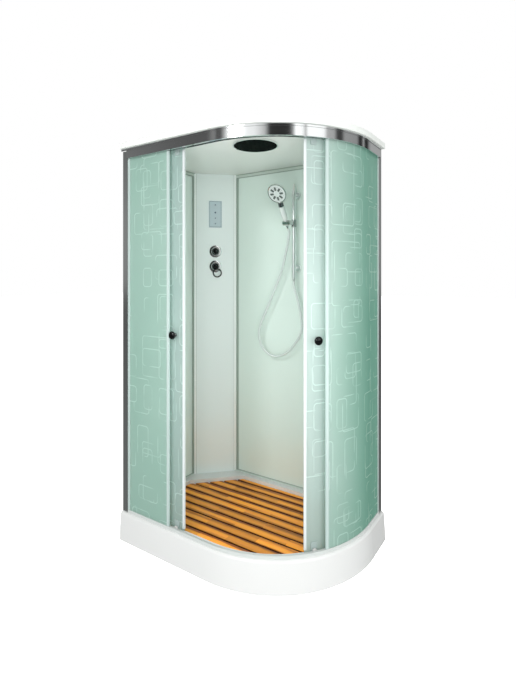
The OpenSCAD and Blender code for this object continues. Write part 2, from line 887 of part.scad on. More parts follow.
module wheel() {
    color("whitesmoke") difference() {
        peg(wheel_d, wheel_r0, wheel_r1);
        peg(axle_d + 2 * axle_play, wheel_r0 - 1, wheel_r1 + 1);
    }
}

module left_top_wheel_1() {
    at_front(left_open_x - roller_in, top_wheel_z) wheel();
}

module left_top_wheel_2() {
    at_front(left_tail_x + roller_in, top_wheel_z) wheel();
}

module left_bottom_wheel_1() {
    at_front(left_open_x - roller_in, bottom_wheel_z) wheel();
}

module left_bottom_wheel_2() {
    at_front(left_tail_x + roller_in, bottom_wheel_z) wheel();
}

module right_top_wheel_1() {
    at_angle(arc_place(door_open_angle, roller_in), top_wheel_z) wheel();
}

module right_top_wheel_2() {
    at_angle(arc_place(right_tail, -roller_in), top_wheel_z) wheel();
}

module right_bottom_wheel_1() {
    at_angle(arc_place(door_open_angle, roller_in), bottom_wheel_z) wheel();
}

module right_bottom_wheel_2() {
    at_angle(arc_place(right_tail, -roller_in), bottom_wheel_z) wheel();
}

// A round knob on a neck that stands out along -Y
module knob_solid() {
    neck_d = 14;
    head_h = 20;
    rotate([90, 0, 0]) rotate_extrude() {
        square([neck_d / 2, knob_out - head_h / 2 + 1]);
        intersection() {
            translate([0, knob_out - head_h / 2]) square([knob_d / 2, head_h]);
            translate([0, knob_out]) scale([1, 0.62]) circle(knob_d / 2);
        }
    }
}

// Outer knob, inner knob, and the bolt that clamps them on the glass
module knob_pair() {
    translate([0, -door_r - slip, knob_z]) knob_solid();
    translate([0, -door_r + glass_t + slip, knob_z]) mirror([0, 1, 0]) difference() {
        knob_solid();
        peg(bolt_d - 2, -1, 12);
    }
    translate([0, 0, knob_z]) peg(bolt_d - 2, door_r - glass_t - slip - 12, door_r + slip + 1);
}

module left_knobs() {
    color("silver") at_front(left_open_x - knob_in, 0) knob_pair();
}

module right_knobs() {
    color("silver") at_angle(arc_place(door_open_angle, knob_in), 0) knob_pair();
}

// Rubber blocks on the track that the wheels meet at the ends of their travel
stop_w = 10;

module door_stops() {
    reach = wheel_d / 2 + 1;
    left_out = left_tail_x + roller_in - reach;
    left_in = (left_closed_x - roller_in + reach - corner_x) / door_r * 180 / PI - 90;
    right_out = corner_y + (wheel_r0 + wheel_w / 2) * sin(arc_place(right_tail, -roller_in)) + reach;
    right_in = door_closed_angle + (roller_in - reach - stop_w) * angle_per_mm;
    color("black") {
        front_run(left_out - stop_w, left_out)
            band(wheel_r0, wheel_r1, track_z, top_wheel_z);
        corner_run(left_in, left_in + stop_w * angle_per_mm)
            band(wheel_r0, wheel_r1, track_z, top_wheel_z);
        side_run(right_out, right_out + stop_w)
            band(wheel_r0, wheel_r1, track_z, top_wheel_z);
        corner_run(right_in, right_in + stop_w * angle_per_mm)
            band(wheel_r0, wheel_r1, track_z, top_wheel_z);
    }
}

// Back walls

strip_t = 10;
strip_play = 0.2;
strip_lap = 3;
// The column's rounded edge stands past its end by this much
column_bulge = column_round * (1 - sqrt(0.5));
strip_start = column_bulge + slip;
panel_z0 = tray_h + strip_lap;
panel_z1 = ceiling_z - strip_lap;
long_x0 = left_x + column_reach;
long_x1 = right_post_x - post + 10;
short_y0 = post_y + post - 10;
short_y1 = back_y - column_reach;
feed_z = bracket_z0;

module long_wall_panel() {
    color("honeydew") difference() {
        translate([long_x0 + strip_start + strip_lap, wall_y, panel_z0])
            cube([long_x1 - long_x0 - strip_start - strip_lap, panel_t, panel_z1 - panel_z0]);
        translate([bar_x, wall_y - 1, feed_z]) rotate([-90, 0, 0]) cylinder(h = panel_t + 2, d = 12);
    }
}

module short_wall_panel() {
    color("honeydew") translate([wall_x - panel_t, short_y0, panel_z0])
        cube([panel_t, short_y1 - short_y0 - strip_start - strip_lap, panel_z1 - panel_z0]);
}

// Strips along a panel's foot, top and column side: X runs away from the column
module strip_frame(length, panel_y) {
    h = ceiling_z - tray_h;
    strip_y = panel_y + (panel_t - strip_t) / 2;
    difference() {
        translate([0, strip_y, 0]) cube([length, strip_t, h]);
        translate([strip_w, strip_y - 1, foot_strip_h])
            cube([length, strip_t + 2, h - strip_w - foot_strip_h]);
        translate([strip_lap - strip_play, panel_y - strip_play, strip_lap - strip_play])
            cube([length, panel_t + 2 * strip_play, h - 2 * strip_lap + 2 * strip_play]);
    }
}

module wall_strips() {
    post_end = post + slip;
    color("silver") {
        translate([long_x0 + strip_start, wall_y, tray_h])
            strip_frame(right_post_x - post_end - long_x0 - strip_start, 0);
        translate([wall_x, short_y1 - strip_start, tray_h]) rotate([0, 0, -90])
            strip_frame(short_y1 - strip_start - post_y - post_end, -panel_t);
    }
}

module column_outline_2d(t) {
    half = column_half - column_round;
    translate([-half, t - column_round]) square([2 * half, column_round]);
    for (s = [-1, 1]) translate([s * half, 0]) circle(column_round - t);
}

// The column in plan: its shell, and a flange behind each wall panel
module column_2d() {
    flange_in = 12;
    flange_t = 2;
    flange_len = 30;
    web = 4;
    sink = 0.6;
    translate([column_x, column_y]) rotate(45) intersection() {
        difference() {
            column_outline_2d(0);
            column_outline_2d(column_t);
        }
        translate([-column_half, -column_round]) square([2 * column_half, column_round]);
    }
    translate([left_x + flange_in - flange_t, short_y1 - flange_len])
        square([flange_t, flange_len + web + sink]);
    translate([left_x + flange_in - flange_t, short_y1 + sink])
        square([wall_x + 3 - left_x - flange_in + flange_t, web]);
    translate([long_x0 - web - sink, back_y - flange_in])
        square([flange_len + web + sink, flange_t]);
    translate([long_x0 - web - sink, wall_y - 3])
        square([web, back_y - flange_in + flange_t - wall_y + 3]);
}

module column() {
    color("white") difference() {
        translate([0, 0, tray_h]) linear_extrude(ceiling_z - tray_h) column_2d();
        at_column(diverter_z) peg(valve_d + 1, 0, face + 1);
        at_column(mixer_z) peg(valve_d + 1, 0, face + 1);
        at_column(control_z) translate([-control_w / 2 + 8, -face - 1, -control_h / 2 + 8])
            cube([control_w - 16, column_t + 2, control_h - 16]);
    }
}

// Roof: a shallow pan whose rim stands on the top rail

module roof_section_2d() {
    rim_t = 4;
    lip_r = door_r - 16;
    edge_r = front_r - 1;
    band(lip_r - rim_t, lip_r, ceiling_z, rail_z1 + rim_t);
    band(lip_r - rim_t, edge_r, rail_z1, rail_z1 + rim_t);
    band(edge_r - rim_t, edge_r, rail_z1, cabin_h);
}

module roof() {
    wall = 3;
    plate_r = door_r - 18;
    pipe_hole_d = 20;
    color("whitesmoke") difference() {
        union() {
            whole_run(left_x, back_y) roof_section_2d();
            translate([0, 0, ceiling_z]) linear_extrude(ceiling_t)
                plan_2d(front_r - plate_r, left_x, back_y);
            translate([left_x, corner_y - plate_r, ceiling_z])
                cube([wall, back_y - corner_y + plate_r, cabin_h - ceiling_z]);
            translate([left_x, back_y - wall, ceiling_z])
                cube([corner_x + plate_r - left_x, wall, cabin_h - ceiling_z]);
            translate([left_x, front_y + 2, rail_z1 + 1]) cube([wall, front_r - plate_r, cabin_h - rail_z1 - 1]);
            translate([corner_x + plate_r - 2, back_y - wall, rail_z1 + 1])
                cube([front_r - plate_r, wall, cabin_h - rail_z1 - 1]);
        }
        translate([rain_x, rain_y, ceiling_z - 1])
            cylinder(h = ceiling_t + 2, d = rain_body_d + 1);
        at_column(ceiling_z - 1) translate([0, riser_off, 0]) cylinder(h = ceiling_t + 2, d = pipe_hole_d);
    }
}

// Rain head

rain_drop = 8;
rain_body_h = 18;
rain_wall = 2;
plate_d = rain_d - 2 * rain_ring_w - 2 * slip;
rain_body_d = plate_d + 2 * slip + 2 * rain_wall;
rain_top_z = ceiling_z + ceiling_t + rain_body_h;

module rain_ring() {
    rain_z = ceiling_z - rain_drop;
    color("silver") translate([rain_x, rain_y, 0]) difference() {
        union() {
            translate([0, 0, rain_z]) cylinder(h = rain_drop - slip, d = rain_d);
            translate([0, 0, rain_z]) cylinder(h = rain_top_z - rain_z, d = rain_body_d);
        }
        translate([0, 0, rain_z - 1]) cylinder(h = rain_top_z - rain_wall - rain_z + 1, d = plate_d + 2 * slip);
        translate([0, 0, ceiling_z]) cylinder(h = rain_body_h + 2 * ceiling_t, d = pipe_d + slip);
    }
}

module rain_plate() {
    shelf = 4;
    hub_d = 40;
    nozzle_rings = 4;
    plate_z = ceiling_z - rain_drop + 1;
    color("darkslategray") translate([rain_x, rain_y, plate_z]) difference() {
        union() {
            cylinder(h = shelf, d = plate_d);
            cylinder(h = rain_top_z - rain_wall - plate_z, d = hub_d);
        }
        translate([0, 0, shelf]) cylinder(h = rain_top_z - plate_z, d = pipe_d + slip);
        for (k = [1 : nozzle_rings]) for (i = [0 : 6 * k - 1]) rotate([0, 0, i * 60 / k])
            translate([k * plate_d / (2 * nozzle_rings + 1.5), 0, -1]) cylinder(h = 2.5, d = 3, $fn = 8);
    }
}

// Pipes behind the column and above the ceiling

pipe_d = 14;
bar_pipe_d = 8;
riser_off = 36;
riser_z = rain_top_z + 10;
bar_pipe_y = back_y - 5.5;

// A round pipe from point to point with ball elbows
module pipe(points, d) {
    for (i = [0 : len(points) - 2]) {
        v = points[i + 1] - points[i];
        translate(points[i]) rotate([0, acos(v[2] / norm(v)), atan2(v[1], v[0])]) {
            cylinder(h = norm(v), d = d);
            if (i > 0) sphere(d = d + 2);
        }
    }
}

// A point given on the column's face, X along it and Y behind it, in the cabin's frame
function column_point(x, y, z) = [column_x + (x - y) * sqrt(0.5), column_y + (x + y) * sqrt(0.5), z];

module feed_pipes() {
    valve_top = diverter_z + valve_d / 2;
    tap = column_point(valve_d / 2, riser_off, diverter_z);
    bend = column_point(valve_d / 2 + 12, riser_off, diverter_z);
    turn = column_point(column_half - 50, 40, diverter_z);
    color("lightslategray") {
        pipe([
            column_point(0, riser_off, valve_top), column_point(0, riser_off, riser_z),
            [rain_x, rain_y, riser_z], [rain_x, rain_y, rain_top_z - rain_wall]
        ], pipe_d);
        pipe([
            tap, bend, turn, [long_x0 - 30, bar_pipe_y, diverter_z - 30], [bar_x, bar_pipe_y, feed_z],
            [bar_x, wall_y + 1, feed_z]
        ], bar_pipe_d);
    }
}

// Taps on the column

module mixer_body() {
    body_d = 52;
    stub_len = 34;
    thread_len = 16;
    arm_d = inlet_d + 7;
    deep = 62;
    color("goldenrod") at_column(mixer_z) difference() {
        union() {
            peg(valve_d, -deep, face + 1 - slip);
            peg(body_d, -deep, 0);
            translate([-inlet_pitch / 2, deep - 30, 0]) rotate([0, 90, 0]) cylinder(h = inlet_pitch, d = arm_d);
            for (s = [-1, 1]) translate([s * inlet_pitch / 2, deep - 30, 0]) {
                sphere(d = arm_d);
                translate([0, 0, -stub_len]) cylinder(h = stub_len, d = inlet_d + 4);
                translate([0, 0, -stub_len - thread_len]) cylinder(h = thread_len, d = inlet_d);
            }
            peg(spindle_d, face - 1, face + plate_t + slip + spindle_len);
            translate([0, riser_off, 0]) cylinder(h = diverter_z - mixer_z - valve_d / 2, d = pipe_d);
        }
        for (s = [-1, 1]) translate([s * inlet_pitch / 2, deep - 30, -stub_len - thread_len - 1])
            cylinder(h = stub_len + thread_len, d = 13);
    }
}

module tap_plates() {
    edge = 2;
    color("silver") {
        for (tap = [[diverter_z, diverter_plate_d], [mixer_z, mixer_plate_d]])
            at_column(tap[0]) difference() {
                union() {
                    peg(tap[1], face, face + plate_t - edge);
                    translate([0, -face - plate_t + edge, 0]) rotate([90, 0, 0])
                        cylinder(h = edge, d1 = tap[1], d2 = tap[1] - 2 * edge);
                }
                peg(valve_d + 1, face - 1, face + 2);
                peg(spindle_d + 1, face, face + plate_t + 1);
            }
    }
}

hub_y0 = face + plate_t + slip;

module mixer_hub() {
    slot_w = 8.6;
    eye_d = 11;
    base_h = 6;
    cone_h = 3.5;
    nose_d = 22;
    edge = 2;
    color("silver") at_column(mixer_z) rotate([0, -lever_turn, 0]) {
        difference() {
            union() {
                peg(mixer_hub_d, hub_y0, hub_y0 + base_h);
                translate([0, -hub_y0 - base_h, 0]) rotate([90, 0, 0])
                    cylinder(h = cone_h, d1 = mixer_hub_d, d2 = nose_d);
                peg(nose_d, hub_y0 + base_h, hub_y0 + hub_len - edge);
                translate([0, -hub_y0 - hub_len + edge, 0]) rotate([90, 0, 0])
                    cylinder(h = edge, d1 = nose_d, d2 = nose_d - 2 * edge);
            }
            peg(spindle_d + 0.1, hub_y0 - 1, hub_y0 + spindle_len + slip);
            translate([-slot_w / 2, -hub_y0 - hub_len - 1, -mixer_hub_d])
                cube([slot_w, hub_y0 + hub_len + 1 - pivot_off + eye_d / 2, mixer_hub_d + eye_d / 2 + slip]);
        }
        translate([-slot_w / 2 - 2, -pivot_off, 0]) rotate([0, 90, 0]) cylinder(h = slot_w + 4, d = pin_d);
    }
}

module mixer_lever() {
    tongue_w = 8;
    eye_d = 10;
    color("silver") at_column(mixer_z) rotate([0, -lever_turn, 0]) translate([0, -pivot_off, 0]) {
        difference() {
            union() {
                translate([-tongue_w / 2, 0, 0]) rotate([0, 90, 0]) cylinder(h = tongue_w, d = eye_d);
                translate([-tongue_w / 2, -3.5, -lever_drop + lever_ring_d / 2 - lever_ring_t / 2])
                    cube([tongue_w, 7, lever_drop - lever_ring_d / 2 + lever_ring_t / 2]);
            }
            translate([-tongue_w, 0, 0]) rotate([0, 90, 0]) cylinder(h = 2 * tongue_w, d = pin_d + 0.1);
        }
        translate([0, 0, -lever_drop]) rotate([90, 0, 0]) rotate_extrude()
            translate([(lever_ring_d - lever_ring_t) / 2, 0]) circle(d = lever_ring_t, $fn = 32);
    }
}

module diverter_body() {
    deep = 44;
    color("goldenrod") at_column(diverter_z) union() {
        peg(valve_d, -deep, face + 1 - slip);
        peg(diverter_spindle_d, face - 1, hub_y0 + spindle_len);
    }
}

module diverter_knob() {
    grip_w = 8;
    color("dimgray") at_column(diverter_z) difference() {
        union() {
            peg(diverter_knob_d, hub_y0, hub_y0 + knob_len - 6);
            peg(diverter_knob_d - 10, hub_y0, hub_y0 + knob_len);
            translate([-grip_w / 2, -hub_y0 - knob_len, -diverter_knob_d / 2 + 3])
                cube([grip_w, 8, diverter_knob_d - 6]);
        }
        peg(diverter_spindle_d + 0.1, hub_y0 - 1, hub_y0 + spindle_len + slip);
    }
}

// Control panel and keys

key_flange_d = key_d + 2 * key_lip;
key_flange_t = 1.5;

module control_panel() {
    color("lightsteelblue") at_column(control_z) difference() {
        translate([-control_w / 2, -face - control_t, -control_h / 2]) cube([control_w, control_t, control_h]);
        for (z = key_heights) translate([0, 0, z]) peg(key_d + 2 * slip, face - 1, face + control_t + 1);
    }
}

module control_key(z) {
    color("slategray") at_column(control_z + z) union() {
        peg(key_d, face - 0.5, face + control_t + key_proud);
        peg(key_flange_d, face - 0.1 - key_flange_t, face - 0.1);
        peg(key_d / 2, face - 2.6, face - key_flange_t);
    }
}

module key_up() {
    control_key(key_heights[0]);
}

module key_middle() {
    control_key(key_heights[1]);
}

module key_down() {
    control_key(key_heights[2]);
}

module control_box() {
    fit = 8.5;
    pocket = 2.6 + key_travel + slip;
    color("gray") at_column(control_z) difference() {
        translate([-control_w / 2 + fit, -face, -control_h / 2 + fit])
            cube([control_w - 2 * fit, box_depth, control_h - 2 * fit]);
        for (z = key_heights) translate([0, 0, z]) peg(key_flange_d + 2 * slip, face - pocket, face + 1);
    }
}

// Hand shower

module riser_bar() {
    color("silver") translate([bar_x, bar_y, bar_z0]) cylinder(h = bar_z1 - bar_z0, d = bar_d);
}

// A bracket: rose on the wall panel, arm, and collar round the bar
module bar_bracket(z) {
    rose_d = 44;
    rose_t = 8;
    arm_d = 18;
    collar_h = 30;
    difference() {
        union() {
            translate([bar_x, wall_y, z]) rotate([90, 0, 0]) cylinder(h = rose_t, d = rose_d);
            translate([bar_x, wall_y, z]) rotate([90, 0, 0]) cylinder(h = bar_off, d = arm_d);
            translate([bar_x, bar_y, z - collar_h / 2]) cylinder(h = collar_h, d = bar_d + 7);
        }
        translate([bar_x, bar_y, z - collar_h]) cylinder(h = 2 * collar_h, d = bar_d + 0.1);
    }
}

module bar_fittings() {
    color("silver") {
        bar_bracket(bracket_z0);
        bar_bracket(bracket_z1);
        translate([bar_x, bar_y, bar_z1]) cylinder(h = finial_h, d1 = bar_d, d2 = 9);
        translate([bar_x, bar_y, bar_z0 - outlet_h]) union() {
            cylinder(h = 10, d1 = hose_d + 3, d2 = hose_d + 8);
            translate([0, 0, 10]) cylinder(h = outlet_h - 10, d = bar_d);
        }
    }
}

module slider() {
    sleeve_d = bar_d + 10;
    arm_x0 = barrel_x + barrel_w / 2 + slip;
    arm_w = bar_x - arm_x0 + 6;
    color("silver") difference() {
        union() {
            translate([bar_x, bar_y, slider_z - slider_h / 2]) cylinder(h = slider_h, d = sleeve_d);
            translate([arm_x0, barrel_y, slider_z - 10]) cube([arm_w, bar_y - barrel_y, 20]);
            translate([arm_x0, barrel_y, slider_z]) rotate([0, 90, 0]) cylinder(h = arm_w, d = barrel_d - 3);
            translate([arm_x0 - 8, barrel_y, slider_z]) rotate([0, 90, 0]) cylinder(h = 9, d = holder_pin_d);
        }
        translate([bar_x, bar_y, slider_z - slider_h]) cylinder(h = 2 * slider_h, d = bar_d + 2 * slider_play);
    }
}

// Places a piece in the hand shower's frame: Z up along the handle, -Y towards the face
module at_holder() {
    translate([barrel_x, barrel_y, slider_z]) rotate([handset_lean, 0, 0]) children();
}

module handset_holder() {
    color("silver") difference() {
        translate([barrel_x - barrel_w / 2, barrel_y, slider_z]) rotate([0, 90, 0])
            cylinder(h = barrel_w, d = barrel_d);
        at_holder() translate([0, 0, -barrel_d]) cylinder(h = 2 * barrel_d, d = cup_d);
        translate([barrel_x + barrel_w / 2 - 8 - slip, barrel_y, slider_z]) rotate([0, 90, 0])
            cylinder(h = 20, d = holder_pin_d + 0.2);
    }
}

head_z = handle_len;
face_t = 4;
face_d = head_d - 14;

// Places a piece in the head's frame: its middle at the origin, and Z out of its face
module at_head() {
    at_holder() translate([0, 0, head_z]) rotate([90 + head_tilt, 0, 0]) children();
}

module handset_body() {
    grip_d = 30;
    neck_d = 15;
    seat_d = cup_d - 2 * cup_play;
    seat_h = barrel_d / 2 + 3;
    color("white") difference() {
        union() {
            at_holder() {
                translate([0, 0, -barrel_d / 2 - 2]) cylinder(h = seat_h + barrel_d / 2 + 2, d = seat_d);
                translate([0, 0, seat_h]) cylinder(h = 45, d1 = seat_d + 5, d2 = grip_d);
                translate([0, 0, seat_h + 45]) cylinder(h = head_z - seat_h - 100, d1 = grip_d, d2 = neck_d);
                translate([0, 0, head_z - 56]) cylinder(h = 30, d = neck_d);
            }
            at_head() translate([0, 0, -head_t / 2]) {
                cylinder(h = head_t * 0.6, d1 = head_d * 0.45, d2 = head_d - 3);
                translate([0, 0, head_t * 0.6]) cylinder(h = head_t * 0.4, d1 = head_d - 3, d2 = head_d);
            }
        }
        at_head() translate([0, 0, head_t / 2 - face_t]) cylinder(h = face_t + 1, d = face_d + 2 * slip);
    }
}

module handset_face() {
    boss_h = 2;
    color("gainsboro") at_head() translate([0, 0, head_t / 2 - face_t + slip]) {
        cylinder(h = face_t, d = face_d);
        for (i = [0 : 7]) rotate([0, 0, i * 45]) translate([face_d * 0.3, 0, face_t - 1])
            cylinder(h = boss_h + 1, d = 20);
    }
}

module hose_nut() {
    top = barrel_d / 2 + 2;
    color("silver") at_holder() translate([0, 0, -nut_len])
        cylinder(h = nut_len - top, d1 = hose_d + 2, d2 = cup_d - 1);
}

// Hose: a tube swept along its route

function blend_point(a, b, c, d, t) =
    0.5 * (2 * b + (c - a) * t + (2 * a - 5 * b + 4 * c - d) * t * t + (3 * b - a - 3 * c + d) * t * t * t);

function smooth_route(p, n) = [
    for (i = [0 : len(p) - 2], k = [0 : n - 1])
        blend_point(p[max(i - 1, 0)], p[i], p[i + 1], p[min(i + 2, len(p) - 1)], k / n),
    p[len(p) - 1]
];

function unit(v) = v / norm(v);

// Direction of the hose at a point: square to the outlet at its start and to the nut at its end
function heading(p, i) =
    i == 0 ? [0, 0, -1]
    : i == len(p) - 1 ? [0, -sin(handset_lean), cos(handset_lean)]
    : unit(p[i + 1] - p[i - 1]);

function hose_ring(p, i, r, n) =
    let (t = heading(p, i), u = unit(cross(t, [0, 1, 0])), v = cross(t, u))
    [for (k = [0 : n - 1]) p[i] + r * (cos(k * 360 / n) * u + sin(k * 360 / n) * v)];

hose_last = len(hose_loop) - 1;
hose_shift = hose_to - hose_from - hose_loop[hose_last];
hose_route = [for (i = [0 : hose_last]) hose_from + hose_loop[i] + hose_shift * i / hose_last];
hose_points = smooth_route(hose_route, hose_steps);
hose_split = len(hose_points) - 1 - tail_spans * hose_steps;

module hose_stretch(from, to, gap) {
    n = hose_sides;
    start = gap * heading(hose_points, from);
    rings = [
        for (i = [from : to], p = hose_ring(hose_points, i, hose_d / 2, n)) i == from ? p + start : p
    ];
    m = to - from;
    sides = [for (i = [0 : m - 1], k = [0 : n - 1]) each [
        [i * n + k, (i + 1) * n + k, (i + 1) * n + (k + 1) % n],
        [i * n + k, (i + 1) * n + (k + 1) % n, i * n + (k + 1) % n]
    ]];
    first = [[for (k = [0 : n - 1]) k]];
    last = [[for (k = [n - 1 : -1 : 0]) m * n + k]];
    polyhedron(points = rings, faces = concat(first, sides, last));
}

module shower_hose() {
    color("lightgray") hose_stretch(0, hose_split, 0);
}

module hose_tail() {
    color("lightgray") hose_stretch(hose_split, len(hose_points) - 1, hose_gap);
}

tray();
base_frame();
feet();
drain_fittings();
siphon_trap();
duckboard_slats();
duckboard_battens();
duckboard_studs();
bottom_rail();
top_rail();
left_wall_profile();
right_wall_profile();
left_fixed_glass();
right_fixed_glass();
fixed_pane_trims();
left_door_glass();
right_door_glass();
left_door_seals();
right_door_seals();
left_roller_mounts();
right_roller_mounts();
left_top_wheel_1();
left_top_wheel_2();
left_bottom_wheel_1();
left_bottom_wheel_2();
right_top_wheel_1();
right_top_wheel_2();
right_bottom_wheel_1();
right_bottom_wheel_2();
left_knobs();
right_knobs();
door_stops();
long_wall_panel();
short_wall_panel();
wall_strips();
column();
roof();
rain_ring();
rain_plate();
feed_pipes();
mixer_body();
tap_plates();
mixer_hub();
mixer_lever();
diverter_body();
diverter_knob();
control_panel();
key_up();
key_middle();
key_down();
control_box();
riser_bar();
bar_fittings();
slider();
handset_holder();
handset_body();
handset_face();
hose_nut();
shower_hose();
hose_tail();
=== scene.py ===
"""Looks for a corner shower cabin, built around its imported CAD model.

The CAD solids carry the shapes. Each sub-assembly here is a class: it gives its CAD nodes their finishes, replaces
the few that want a smoother form, and adds the small parts that only a close look shows. The camera, the studio
light and the floor are set at the end. Lengths are in metres and angles in degrees, unless a name says otherwise.
"""

from __future__ import annotations

import logging
import math
from collections.abc import Callable, Sequence
from dataclasses import dataclass
from enum import Enum

import bmesh
import bpy
from mathutils import Matrix, Vector

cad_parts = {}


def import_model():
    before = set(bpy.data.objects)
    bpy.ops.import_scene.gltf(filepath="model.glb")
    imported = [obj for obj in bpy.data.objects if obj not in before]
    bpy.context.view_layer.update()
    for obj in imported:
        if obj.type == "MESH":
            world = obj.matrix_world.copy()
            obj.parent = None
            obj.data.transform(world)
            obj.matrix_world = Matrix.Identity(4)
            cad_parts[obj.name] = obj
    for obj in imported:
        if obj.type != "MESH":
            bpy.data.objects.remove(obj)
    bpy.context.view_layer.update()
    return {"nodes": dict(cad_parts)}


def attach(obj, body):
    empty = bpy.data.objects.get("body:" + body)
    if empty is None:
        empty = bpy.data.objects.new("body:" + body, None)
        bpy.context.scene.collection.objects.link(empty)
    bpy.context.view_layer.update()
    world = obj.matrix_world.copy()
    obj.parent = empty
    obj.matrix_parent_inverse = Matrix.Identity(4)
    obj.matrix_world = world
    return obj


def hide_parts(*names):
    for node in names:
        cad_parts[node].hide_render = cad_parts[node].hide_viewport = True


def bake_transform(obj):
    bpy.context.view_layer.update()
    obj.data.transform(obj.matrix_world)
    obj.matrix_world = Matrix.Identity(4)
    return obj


LOG = logging.getLogger("shower_cabin")

# The rounded front: place of its centre along Y, and distance of the fixed panes and of the doors from it.
CORNER_Y = 0.2
PANE_RADIUS = 0.574
DOOR_RADIUS = 0.55

# The column's axis in plan. Its face looks into the cabin at 45 degrees.
COLUMN_AXIS = (-0.487, 0.287)

# Frosted glass: how much an etched line pales it, the share of light that glows through its body, and how fast it
# deepens at a slant.
ETCHED = 0.34
GLOW = 0.46
SLANT = 1.9
ETCH_COLOUR = (0.86, 1.0, 0.95)

# Painted shade: the wood's edges turn this dark brown down in the gaps between two slats, where shade falls.
GAP_SHADE_BROWN = (0.02, 0.006, 0.002)

Colour = tuple[float, float, float]
Profile = Sequence[tuple[float, float]]
Value = object  # a constant, or the output socket that gives it


class Body(str, Enum):
    """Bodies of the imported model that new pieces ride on."""

    CABIN = "cabin"
    LEFT_DOOR = "left_door"
    RIGHT_DOOR = "right_door"
    SLIDER = "bar_slider"
    HOLDER = "holder"
    SPRAY = "spray_dial"
    DIVERTER = "diverter"
    LEVER = "lever"
    UP_KEY = "up_key"
    MIDDLE_KEY = "middle_key"
    DOWN_KEY = "down_key"


class Recipe(Enum):
    """Ways of building a material."""

    MOULDED = "moulded"
    METAL = "metal"
    GLASS = "glass"
    WOOD = "wood"
    SPECKLED = "speckled"


@dataclass(frozen=True)
class Finish:
    """How one material looks.

    Attributes:
        name: the material's name.
        colour: its base colour, in linear light.
        rough: its roughness.
        recipe: the way it is built.
        vary: how much its colour and roughness drift over the surface.
        fine: scale of its fine texture.
        bump: depth of its fine texture.
        coat: weight of a clear coat.
        stretch: how far the fine texture is drawn out along each axis.
        round_front: whether the texture follows the rounded front.
        second: a second colour, where the recipe takes one.
        clear: share of light that passes straight through glass.
    """

    name: str
    colour: Colour
    rough: float
    recipe: Recipe = Recipe.MOULDED
    vary: float = 0.06
    fine: float = 220.0
    bump: float = 0.00002
    coat: float = 0.0
    stretch: Colour = (1.0, 1.0, 1.0)
    round_front: bool = False
    second: Colour = (0.0, 0.0, 0.0)
    clear: float = 0.0


@dataclass
class Graph:
    """A node tree, with short calls for adding and joining nodes.

    Attributes:
        tree: the node tree.
    """

    tree: bpy.types.NodeTree

    def add(self, kind: str, inputs: dict[str | int, Value] | None = None, **settings: Value) -> bpy.types.Node:
        """Adds a node.

        Args:
            kind: the node's type, without the ShaderNode prefix where it has one.
            inputs: values or output sockets for its inputs, by name or number.
            **settings: properties set on the node.

        Returns:
            The new node.
        """
        node = self.tree.nodes.new(kind if kind.startswith("Node") else "ShaderNode" + kind)
        for key, value in settings.items():
            setattr(node, key, value)
        for key, value in (inputs or {}).items():
            self.feed(node.inputs[key], value)
        return node

    def out(self, kind: str, inputs: dict[str | int, Value] | None = None) -> bpy.types.NodeSocket:
        """Adds a node as add does, and gives its first output."""
        return self.add(kind, inputs).outputs[0]

    def feed(self, socket: bpy.types.NodeSocket, value: Value) -> None:
        """Links an output into an input, or sets the input's constant.

        Args:
            socket: the input.
            value: an output socket, or a plain value.
        """
        if isinstance(value, bpy.types.NodeSocket):
            self.tree.links.new(value, socket)
        elif isinstance(value, tuple) and len(value) == 3 and socket.type == "RGBA":
            socket.default_value = (*value, 1.0)
        else:
            socket.default_value = value

    def math(self, operation: str, *values: Value, clamp: bool = False) -> bpy.types.NodeSocket:
        """Adds a Math node with its inputs in order, and gives its output, held between 0 and 1 on a clamp."""
        return self.add("Math", dict(enumerate(values)), operation=operation, use_clamp=clamp).outputs[0]

    def vector(self, operation: str, *values: Value) -> bpy.types.NodeSocket:
        """Adds a Vector Math node with its inputs in order, and gives its output: a number for a length."""
        node = self.add("VectorMath", dict(enumerate(values)), operation=operation)
        return node.outputs["Value" if operation == "LENGTH" else "Vector"]

    def grey(self, level: Value) -> bpy.types.NodeSocket:
        """Adds a Combine Color node that makes a grey of a level, and gives its output."""
        return self.out("CombineColor", {0: level, 1: level, 2: level})

    def mix(self, factor: Value, a: Value, b: Value, blend: str = "MIX") -> bpy.types.NodeSocket:
        """Adds a colour Mix node.

        Args:
            factor: how much of b shows.
            a: first colour.
            b: second colour.
            blend: the node's blend type.

        Returns:
            Its colour output.
        """
        node = self.add("Mix", data_type="RGBA", blend_type=blend)
        for number, value in ((0, factor), (6, a), (7, b)):
            self.feed(node.inputs[number], value)
        return node.outputs[2]

    def ramp(self, factor: Value, stops: Sequence[tuple[float, Colour]]) -> bpy.types.NodeSocket:
        """Adds a colour ramp.

        Args:
            factor: the ramp's input.
            stops: positions and colours.

        Returns:
            Its colour output.
        """
        node = self.add("ValToRGB", {0: factor})
        ramp = node.color_ramp
        while len(ramp.elements) < len(stops):
            ramp.elements.new(1.0)
        for element, (place, colour) in zip(ramp.elements, stops, strict=True):
            element.position = place
            element.color = (*colour, 1.0)
        return node.outputs[0]


def empty_graph(owner: bpy.types.Material | bpy.types.World) -> Graph:
    """Empties the node tree of a material or a world.

    Args:
        owner: the material or world.

    Returns:
        The tree's graph.
    """
    owner.use_nodes = True
    owner.node_tree.nodes.clear()
    return Graph(owner.node_tree)


# Socket types, by the letters in the lists of a group's sockets.
KINDS = {"F": "NodeSocketFloat", "V": "NodeSocketVector"}


@dataclass
class Group(Graph):
    """The tree of a node group.

    Attributes:
        takes: what it is given, by name.
        gives: what it gives, by name.
    """

    takes: bpy.types.NodeOutputs
    gives: bpy.types.NodeInputs


